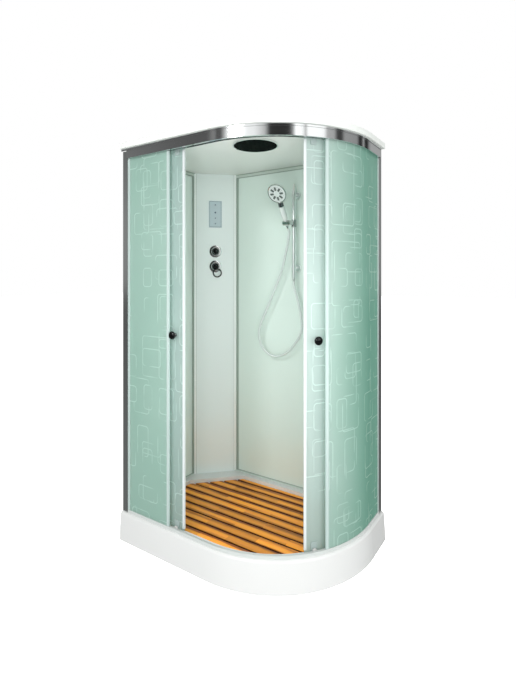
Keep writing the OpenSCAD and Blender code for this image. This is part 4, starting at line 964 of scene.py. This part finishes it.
@dataclass
class Back(Part):
    """Wall panels with their strips and gaskets, the column with white strips that paint the highlight on its rounded
    edges, and the roof.

    Attributes:
        strip: width of the strips.
        foot: height of the strip at the panels' foot.
        bead: width of a gasket.
        cover: how much of an upright strip its gasket covers.
        trim: where the white strips that paint the highlight on the column's rounded edges start and end, from the
            middle of its face.
        highlight_ends: how far they stay off the panels' foot and top.
        highlight_rise: where their foot and their face lie, from the column's axis.
        dark: width of the dark line beside a highlight strip, and the height of its face.
        thick: how far a gasket stands out.
        clear: how far the highest gasket stays under the ceiling.
        low: height of the panels' foot above the floor.
        high: height of their top.
        long_face: place of the long wall's face along Y.
        long_run: where the long wall's strip starts and ends along X.
        short_face: place of the short wall's face along X.
        short_run: where the short wall's strip ends and starts along Y.
    """

    strip: float = 0.02
    foot: float = 0.009
    bead: float = 0.0045
    cover: float = 0.012
    trim: tuple[float, float] = (0.1235, 0.138)
    highlight_ends: tuple[float, float] = (0.004, 0.0004)
    highlight_rise: tuple[float, float] = (0.0096, 0.0118)
    dark: tuple[float, float] = (0.0014, 0.0104)
    thick: float = 0.0032
    clear: float = 0.0004
    low: float = 0.15
    high: float = 2.097
    long_face: float = 0.38
    long_run: tuple[float, float] = (-0.3887, 0.359)
    short_face: float = -0.578
    short_run: tuple[float, float] = (-0.33, 0.1887)

    def build(self) -> None:
        """Dresses the walls and lays the gaskets that edge the strips."""
        self.dress(WALL, "long_wall_panel", "short_wall_panel")
        self.dress(STRIP, "wall_strips")
        self.dress(COLUMN_WHITE, "column")
        self.dress(ROOF_WHITE, "roof")
        x0, x1 = self.long_run
        y0, y1 = self.short_run
        long_place = Matrix.Translation((x0, self.long_face, 0.0))
        short_place = aim(Vector((self.short_face, y1, 0.0)), Vector((0.0, 0.0, 1.0)), Vector((0.0, -1.0, 0.0)))
        mesh = Mesh()
        for place, length, out in ((long_place, x1 - x0, -1.0), (short_place, y1 - y0, 1.0)):
            self._edge(mesh, place, length, out)
        self.piece("wall_gaskets", mesh, GASKET, Body.CABIN)
        # Painted highlight: white strips along the column's rounded edges, brighter than the column, stand in for the
        # highlight these edges catch; a dark line runs beside each.
        highlight_bars, lines = Mesh(), Mesh()
        near, far = self.trim
        foot, face = self.highlight_rise
        width, line_face = self.dark
        for side in (-1.0, 1.0):
            place = on_column(0.0) @ Matrix.Rotation(math.pi * (side < 0), 4, "Z")
            low, high = (self.low, self.high) if side > 0 else (-self.high, -self.low)
            low, high = low + self.highlight_ends[0], high - self.highlight_ends[1]
            highlight_bars.block((near, low, foot), (far, high, face), place, bevel=0.0009)
            lines.block((near - width, low, foot), (near, high, line_face), place, bevel=0.0003)
        self.piece("column_edge_highlights", highlight_bars, EDGE_HIGHLIGHT_WHITE, Body.CABIN)
        self.piece("column_lines", lines, GASKET, Body.CABIN)

    def _edge(self, mesh: Mesh, place: Matrix, length: float, out: float) -> None:
        """Lays one wall's gaskets: inside the strips, and along the ceiling.

        Args:
            mesh: the mesh to add to.
            place: the strip frame's corner at the column.
            length: length of the frame.
            out: the side that faces the cabin.
        """
        inner_top = self.high - self.strip
        for (low_x, low_z), (high_x, high_z) in (
                ((self.strip - self.cover, self.low + self.foot), (self.strip + self.bead, inner_top)),
                ((self.strip, inner_top - self.bead), (length, inner_top)),
                ((self.strip, self.low + self.foot), (length, self.low + self.foot + self.bead)),
                ((0.0, self.high - self.bead), (length, self.high - self.clear))):
            near, far = sorted((0.0, out * self.thick))
            mesh.block((low_x, near, low_z), (high_x, far, high_z), place, bevel=0.0006)


@dataclass
class RainHead(Part):
    """The rain head in the ceiling and the pipes behind it.

    Attributes:
        centre: the middle of its plate's face.
        plate: diameter of the plate.
        rings: rings of nozzles.
        first: nozzles in the innermost ring; each further ring has as many more.
        margin: what stays free across the plate, in distances between rings.
        nozzle: a nozzle's profile.
    """

    centre: Colour = (0.103, -0.128, 2.09)
    plate: float = 0.2184
    rings: int = 4
    first: int = 6
    margin: float = 1.5
    nozzle: Profile = ((0.0023, 0.0008), (0.0023, -0.0002), (0.0017, -0.0009), (0.0008, -0.0009), (0.0006, 0.0006))

    def build(self) -> None:
        """Dresses the head and sets its nozzles."""
        self.dress(CHROME, "rain_ring")
        self.dress(RAIN_PLATE, "rain_plate")
        self.dress(PIPE, "feed_pipes")
        mesh = Mesh()
        for ring in range(1, self.rings + 1):
            radius = ring * self.plate / (2 * self.rings + self.margin)
            count = self.first * ring
            for turn in (2 * math.pi * step / count for step in range(count)):
                spot = Vector(self.centre) + Vector((radius * math.cos(turn), radius * math.sin(turn), 0.0))
                mesh.turned(self.nozzle, Matrix.Translation(spot), 10)
        self.piece("rain_nozzles", mesh, NOZZLE, Body.CABIN)


@dataclass
class Taps(Part):
    """The mixer and the diverter on the column.

    Attributes:
        mixer: height of the mixer.
        diverter: height of the diverter.
        plate: profile of a cover plate.
        ring: profile of the bright ring round a plate's middle.
        knob: profile of the diverter's knob.
        grip: half the length and half the width of the bar across the knob.
        grip_rise: where the bar's foot and its face lie, from the column's axis.
        loop: radius of the mixer's ring lever, and of its section.
        loop_steps: sides of its section.
        loop_place: middle of that ring, from the mixer's middle on the column.
    """

    mixer: float = 1.494
    diverter: float = 1.592
    plate: Profile = ((0.0085, 0.0102), (0.0392, 0.0102), (0.0394, 0.0112), (0.0392, 0.0131), (0.0388, 0.0137),
                      (0.0375, 0.014), (0.0355, 0.0143), (0.0335, 0.0145), (0.0315, 0.0146), (0.027, 0.0146),
                      (0.0225, 0.0146), (0.0085, 0.0146), (0.0085, 0.0102))
    ring: Profile = ((0.0222, 0.014), (0.0274, 0.014), (0.0272, 0.0154), (0.0248, 0.0166), (0.0224, 0.0156),
                     (0.0222, 0.014))
    knob: Profile = ((0.0, 0.0166), (0.0185, 0.0166), (0.0205, 0.0185), (0.0208, 0.0225), (0.0198, 0.03),
                     (0.018, 0.0335), (0.015, 0.0348), (0.0, 0.0352))
    grip: tuple[float, float] = (0.0185, 0.0042)
    grip_rise: tuple[float, float] = (0.034, 0.04)
    loop: tuple[float, float] = (0.0263, 0.0038)
    loop_steps: int = 16
    loop_place: Colour = (0.0104, -0.0417, 0.0303)

    def build(self) -> None:
        """Dresses the taps and builds their plates and the diverter's knob."""
        self.dress(BRASS, "mixer_body", "diverter_body")
        self.dress(BLACK_CHROME, "mixer_hub")
        self.dress(BLACK_GLOSS, "mixer_lever")
        for name, profile, finish, old in (("cover_plates", self.plate, CHROME, "tap_plates"),
                                           ("cover_rings", self.ring, BAR_CHROME, None)):
            mesh = Mesh().turned(profile, on_column(self.mixer), 64).turned(profile, on_column(self.diverter), 64)
            self.piece(name, mesh, finish, Body.CABIN, replaces=old)
        radius, thick = self.loop
        section = [(radius + thick * math.cos(turn), thick * math.sin(turn))
                   for turn in (2 * math.pi * k / self.loop_steps for k in range(self.loop_steps + 1))]
        loop = Mesh().turned(section, on_column(self.mixer) @ Matrix.Translation(self.loop_place), 64)
        self.piece("lever_ring", loop, BLACK_GLOSS, Body.LEVER, sharp=60.0)
        place = on_column(self.diverter)
        length, width = self.grip
        low, high = self.grip_rise
        knob = Mesh().turned(self.knob, place, 64)
        knob.block((-width, -length, low), (width, length, high), place, bevel=0.0018)
        self.piece("diverter_handle", knob, BLACK_CHROME, Body.DIVERTER, replaces="diverter_knob")


@dataclass
class Controls(Part):
    """The control panel on the column, with its keys.

    Attributes:
        height: height of the panel's middle above the floor.
        face: distance from the column's axis to the panel's face.
        half: half the panel's width and height.
        inset: distance from the panel's edge to the printed border.
        line: width of the border.
        print_t: thickness of the print.
        dot: radius of the printed dot, and its height from the panel's middle.
        mark: a key's mark: its radius, and how far it lies in front of the panel.
        keys: the keys' bodies, nodes and heights from the panel's middle, with the sides and turn of their marks.
    """

    height: float = 1.835
    face: float = 0.0131
    half: tuple[float, float] = (0.042, 0.087)
    inset: float = 0.004
    line: float = 0.0016
    print_t: float = 0.0003
    dot: tuple[float, float] = (0.0035, -0.025)
    mark: tuple[float, float] = (0.0052, 0.001)
    keys: tuple[tuple[Body, str, float, int, float], ...] = (
        (Body.UP_KEY, "key_up", 0.061, 3, 90.0), (Body.MIDDLE_KEY, "key_middle", 0.011, 12, 0.0),
        (Body.DOWN_KEY, "key_down", -0.061, 3, -90.0))

    def build(self) -> None:
        """Dresses the panel and lays its print."""
        self.dress(PANEL, "control_panel")
        self.dress(BOX, "control_box")
        place = on_column(self.height)
        base = place @ Matrix.Translation((0.0, 0.0, self.face))
        wide, tall = (side - self.inset for side in self.half)
        border = Mesh()
        for low, high in (((-wide, tall - self.line), (wide, tall)), ((-wide, -tall), (wide, self.line - tall)),
                          ((-wide, -tall), (self.line - wide, tall)), ((wide - self.line, -tall), (wide, tall))):
            border.block((*low, 0.0), (*high, self.print_t), base, bevel=0.0001)
        radius, up = self.dot
        border.prism(16, radius, self.print_t, base @ Matrix.Translation((0.0, up, 0.0)))
        self.piece("panel_print", border, MARK, Body.CABIN)
        radius, rise = self.mark
        for body, node, up, sides, turn in self.keys:
            self.dress(KEY, node)
            turned = Matrix.Rotation(math.radians(turn), 4, "Z")
            spot = place @ Matrix.Translation((0.0, up, self.face + rise)) @ turned
            self.piece(node + "_mark", Mesh().prism(sides, radius, self.print_t, spot), MARK, body)


@dataclass
class HandShower(Part):
    """The bar with its slider, and the handset in its holder.

    Attributes:
        holder: middle of the holder's barrel.
        lean: how far the handle leans out.
        reach: distance from the barrel to the head's middle.
        tilt: how far the head is tipped on the handle.
        shell: profile of the head, from its back to its rim.
        rim: profile of the ring round its face.
        face: profile of the spray face.
        handle: profile of the handle, along its axis.
        collar: profile of the dark collar between handle and head.
        nut: profile of the hose's nut.
        petals: number of petals on the face.
        petal: a petal's distance from the middle, half length and half width.
        petal_rise: where a petal's foot and its face lie along the head's axis.
        spouts: distances of the small nozzles from the middle.
        spout: a small nozzle's radius and height, and where its foot lies.
    """

    holder: Colour = (0.05, 0.282, 1.744)
    lean: float = 32.0
    reach: float = 0.19
    tilt: float = 3.0
    shell: Profile = ((0.0, -0.0118), (0.015, -0.0117), (0.029, -0.0098), (0.042, -0.0055), (0.052, -0.0005),
                      (0.0568, 0.0035), (0.0572, 0.0062), (0.056, 0.008), (0.0, 0.008))
    rim: Profile = ((0.056, 0.004), (0.0578, 0.0038), (0.0589, 0.0065), (0.0589, 0.0095), (0.0578, 0.0117),
                    (0.0548, 0.0119), (0.053, 0.011), (0.053, 0.0081), (0.056, 0.004))
    face: Profile = ((0.0, 0.0084), (0.0518, 0.0084), (0.0521, 0.0105), (0.0505, 0.0118), (0.04, 0.0124),
                     (0.012, 0.0127), (0.0, 0.0128))
    handle: Profile = ((0.0, -0.0162), (0.0078, -0.0162), (0.0084, -0.015), (0.0086, 0.017), (0.0125, 0.019),
                       (0.0148, 0.028), (0.0162, 0.05), (0.0164, 0.075), (0.0155, 0.1), (0.0128, 0.122),
                       (0.0104, 0.136), (0.009, 0.15), (0.008, 0.16), (0.0, 0.164))
    collar: Profile = ((0.0, 0.106), (0.0158, 0.106), (0.0164, 0.108), (0.0156, 0.12), (0.014, 0.132),
                       (0.0, 0.133))
    nut: Profile = ((0.0, -0.034), (0.0078, -0.034), (0.0082, -0.033), (0.0083, -0.03), (0.0079, -0.0296),
                    (0.0079, -0.0284), (0.0084, -0.028), (0.0085, -0.0225), (0.0081, -0.0221), (0.0081, -0.0209),
                    (0.0085, -0.0205), (0.0084, -0.017), (0.0, -0.0166))
    petals: int = 8
    petal: Colour = (0.03, 0.011, 0.006)
    petal_rise: tuple[float, float] = (0.0118, 0.0136)
    spouts: tuple[float, ...] = (0.031, 0.041)
    spout: Colour = (0.0014, 0.0022, 0.0112)

    def build(self) -> None:
        """Dresses the bar and builds the handset."""
        self.dress(BAR_CHROME, "riser_bar", "bar_fittings")
        self.dress(GREY_CHROME, "slider", "handset_holder")
        axis = Matrix.Translation(self.holder) @ Matrix.Rotation(math.radians(self.lean), 4, "X")
        head = axis @ Matrix.Translation((0.0, 0.0, self.reach)) @ Matrix.Rotation(
            math.radians(90.0 + self.tilt), 4, "X")
        shell = Mesh().turned(self.shell, head, 64).turned(self.handle, axis, 40)
        self.piece("handset_shell", shell, HANDSET, Body.HOLDER, replaces="handset_body")
        self.piece("handset_rim", Mesh().turned(self.rim, head, 96), CHROME, Body.HOLDER)
        self.piece("handset_collar", Mesh().turned(self.collar, axis), DARK_CHROME, Body.HOLDER)
        self.piece("spray_face", Mesh().turned(self.face, head, 64), HANDSET, Body.SPRAY, replaces="handset_face")
        self.piece("spray_petals", self._petal_ring(head), PETAL, Body.SPRAY)
        self.piece("hose_nut_cover", Mesh().turned(self.nut, axis, 32), CHROME, Body.HOLDER, replaces="hose_nut")

    def _petal_ring(self, head: Matrix) -> Mesh:
        """Lays the petals and a few nozzles on the face.

        Args:
            head: the head's frame.

        Returns:
            Their mesh.
        """
        away, long, wide = self.petal
        low, high = self.petal_rise
        radius, rise, foot = self.spout
        mesh = Mesh()
        for step in range(self.petals):
            turn = head @ Matrix.Rotation(2 * math.pi * step / self.petals, 4, "Z")
            mesh.block((away - long, -wide, low), (away + long, wide, high), turn, bevel=0.0015)
            half = turn @ Matrix.Rotation(math.pi / self.petals, 4, "Z")
            for spot in self.spouts:
                mesh.prism(10, radius, rise, half @ Matrix.Translation((spot, 0.0, foot)))
        return mesh


@dataclass
class Studio:
    """Camera, floor and light.

    Attributes:
        image: width and height of the photograph.
        focal: focal length, in pixels of the photograph.
        centre: the photograph's optical centre.
        stand: place of the camera.
        pan: its turn about Z.
        ambient: level of the world's light on matt surfaces.
        sky: how much more of it comes from overhead.
        bands: what shiny surfaces reflect round the room: directions in degrees, and the levels there.
        dim: the room's level high up on the left, which the left rail mirrors, and how far round that reaches.
        floor_lit: the floor's own whiteness, and how dark shiny surfaces see it.
        floor_glow: how much brighter the camera sees the floor.
        lamps: each lamp's name, place, target, size and power, and whether shiny surfaces show it.
    """

    image: tuple[int, int] = (516, 688)
    focal: float = 450.09
    centre: tuple[float, float] = (253.7, 276.3)
    stand: Colour = (1.35893, -2.02915, 1.43004)
    pan: float = 33.66
    ambient: float = 0.49
    sky: float = 0.3
    bands: Profile = ((-180, 0.4), (-140, 0.3), (-131, 0.13), (-120, 0.26), (-117, 0.08), (-112, 0.08), (-105, 0.7),
                      (-98, 1.05), (-76, 1.0), (-66, 0.6), (-61, 0.03), (-41, 0.03), (-37, 0.3), (-34, 1.5),
                      (-26, 1.1), (-24, 0.3), (-22, 1.3), (-4, 1.2), (0, 0.45), (8, 0.45), (12, 0.05), (18, 0.05),
                      (22, 0.35), (41, 0.3), (45, 0.02), (50, 0.02), (53, 0.5), (56, 0.02), (62, 0.02), (68, 0.4),
                      (110, 0.45))
    dim: tuple[float, float] = (0.08, 0.153)
    floor_lit: tuple[float, float] = (0.93, 0.17)
    floor_glow: float = 0.65
    lamps: tuple[tuple[str, Colour, Colour, float, float, bool], ...] = (
        ("key", (-0.15, -3.3, 3.0), (0.0, 0.0, 1.1), 0.6, 32.0, True),
        ("front", (2.3, -3.1, 1.7), (0.0, 0.0, 1.1), 1.8, 30.0, False),
        ("glint", (0.65, -3.9, 1.7), (0.0, 0.0, 1.3), 0.8, 6.0, True),
        ("side", (3.6, -0.4, 1.8), (0.0, 0.0, 1.1), 2.0, 26.0, False),
        ("opening", (0.5, -0.8, 1.15), (-0.2, 0.3, 1.2), 0.9, 5.4, False))

    def camera(self) -> None:
        """Sets the camera where the photographer stood."""
        data = bpy.data.cameras.new("camera")
        data.sensor_width = 36.0
        width, height = self.image
        data.lens = self.focal / height * data.sensor_width
        data.shift_x = (width / 2 - self.centre[0]) / height
        data.shift_y = (self.centre[1] - height / 2) / height
        camera = add_object("camera", data)
        camera.location = self.stand
        camera.rotation_euler = (math.radians(90.0), 0.0, math.radians(self.pan))
        bpy.context.scene.camera = camera

    def floor(self) -> None:
        """Lays a white floor, which the camera sees brighter than it is lit."""
        mesh = bmesh.new()
        bmesh.ops.create_grid(mesh, x_segments=1, y_segments=1, size=30.0)
        data = bpy.data.meshes.new("floor")
        mesh.to_mesh(data)
        mesh.free()
        material = bpy.data.materials.new("floor")
        g = empty_graph(material)
        rays = g.add("LightPath").outputs
        cloud = g.out("TexNoise", {"Vector": g.add("TexCoord").outputs["Object"], "Scale": 1.5})
        white, mirrored = self.floor_lit
        lit = g.math("MULTIPLY_ADD", cloud, 0.02, white)
        seen = g.mix(rays["Is Glossy Ray"], g.grey(lit),
                     (mirrored, mirrored, mirrored))
        matt = g.out("BsdfDiffuse", {"Color": seen})
        glow = g.out("Emission", {"Color": (1.0, 1.0, 1.0),
                                  "Strength": g.math("MULTIPLY", rays["Is Camera Ray"], self.floor_glow)})
        both = g.out("AddShader", {0: matt, 1: glow})
        g.feed(g.add("OutputMaterial").inputs["Surface"], both)
        data.materials.append(material)
        add_object("floor", data)

    def light(self) -> None:
        """Sets the lamps and the room's light."""
        scene = bpy.context.scene
        scene.view_settings.view_transform = "Standard"
        world = bpy.data.worlds.new("studio")
        scene.world = world
        g = empty_graph(world)
        x, y, z = g.add("SeparateXYZ", {0: g.add("TexCoord").outputs["Generated"]}).outputs
        turn = g.math("MULTIPLY_ADD", g.math("ARCTAN2", y, x), 0.5 / math.pi, 0.5)
        room = g.ramp(turn, [((angle + 180) / 360, (level, level, level)) for angle, level in self.bands])
        level, reach = self.dim
        high = g.out("MapRange", {"Value": z, "From Min": 0.12, "From Max": 0.3, "To Max": 0.7})
        room = g.mix(g.math("MULTIPLY", g.math("LESS_THAN", turn, reach), high), room, (level, level, level))
        rays = g.add("LightPath").outputs
        above = g.math("MULTIPLY_ADD", g.math("MAXIMUM", z, 0.0), self.sky, self.ambient)
        matt = g.mix(rays["Is Camera Ray"], g.grey(above),
                     (1.0, 1.0, 1.0))
        colour = g.mix(rays["Is Glossy Ray"], matt, room)
        background = g.out("Background", {"Color": colour, "Strength": 1.0})
        g.feed(g.add("OutputWorld").inputs["Surface"], background)
        for name, place, target, size, power, shown in self.lamps:
            data = bpy.data.lights.new(name, "AREA")
            data.size = size
            data.energy = power
            lamp = add_object(name, data)
            lamp.location = place
            lamp.rotation_euler = (Vector(target) - Vector(place)).to_track_quat("-Z", "Y").to_euler()
            lamp.visible_camera = False
            lamp.visible_glossy = shown


def main() -> None:
    """Builds the scene."""
    logging.basicConfig(level=logging.INFO)
    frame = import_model()
    paint = Paint()
    studio = Studio()
    studio.camera()
    for kind in (Hose, Base, Front, Back, RainHead, Taps, Controls, HandShower):
        kind(frame["nodes"], paint).build()
        LOG.info("built %s", kind.__name__)
    studio.floor()
    studio.light()


if __name__ == "__main__":
    main()
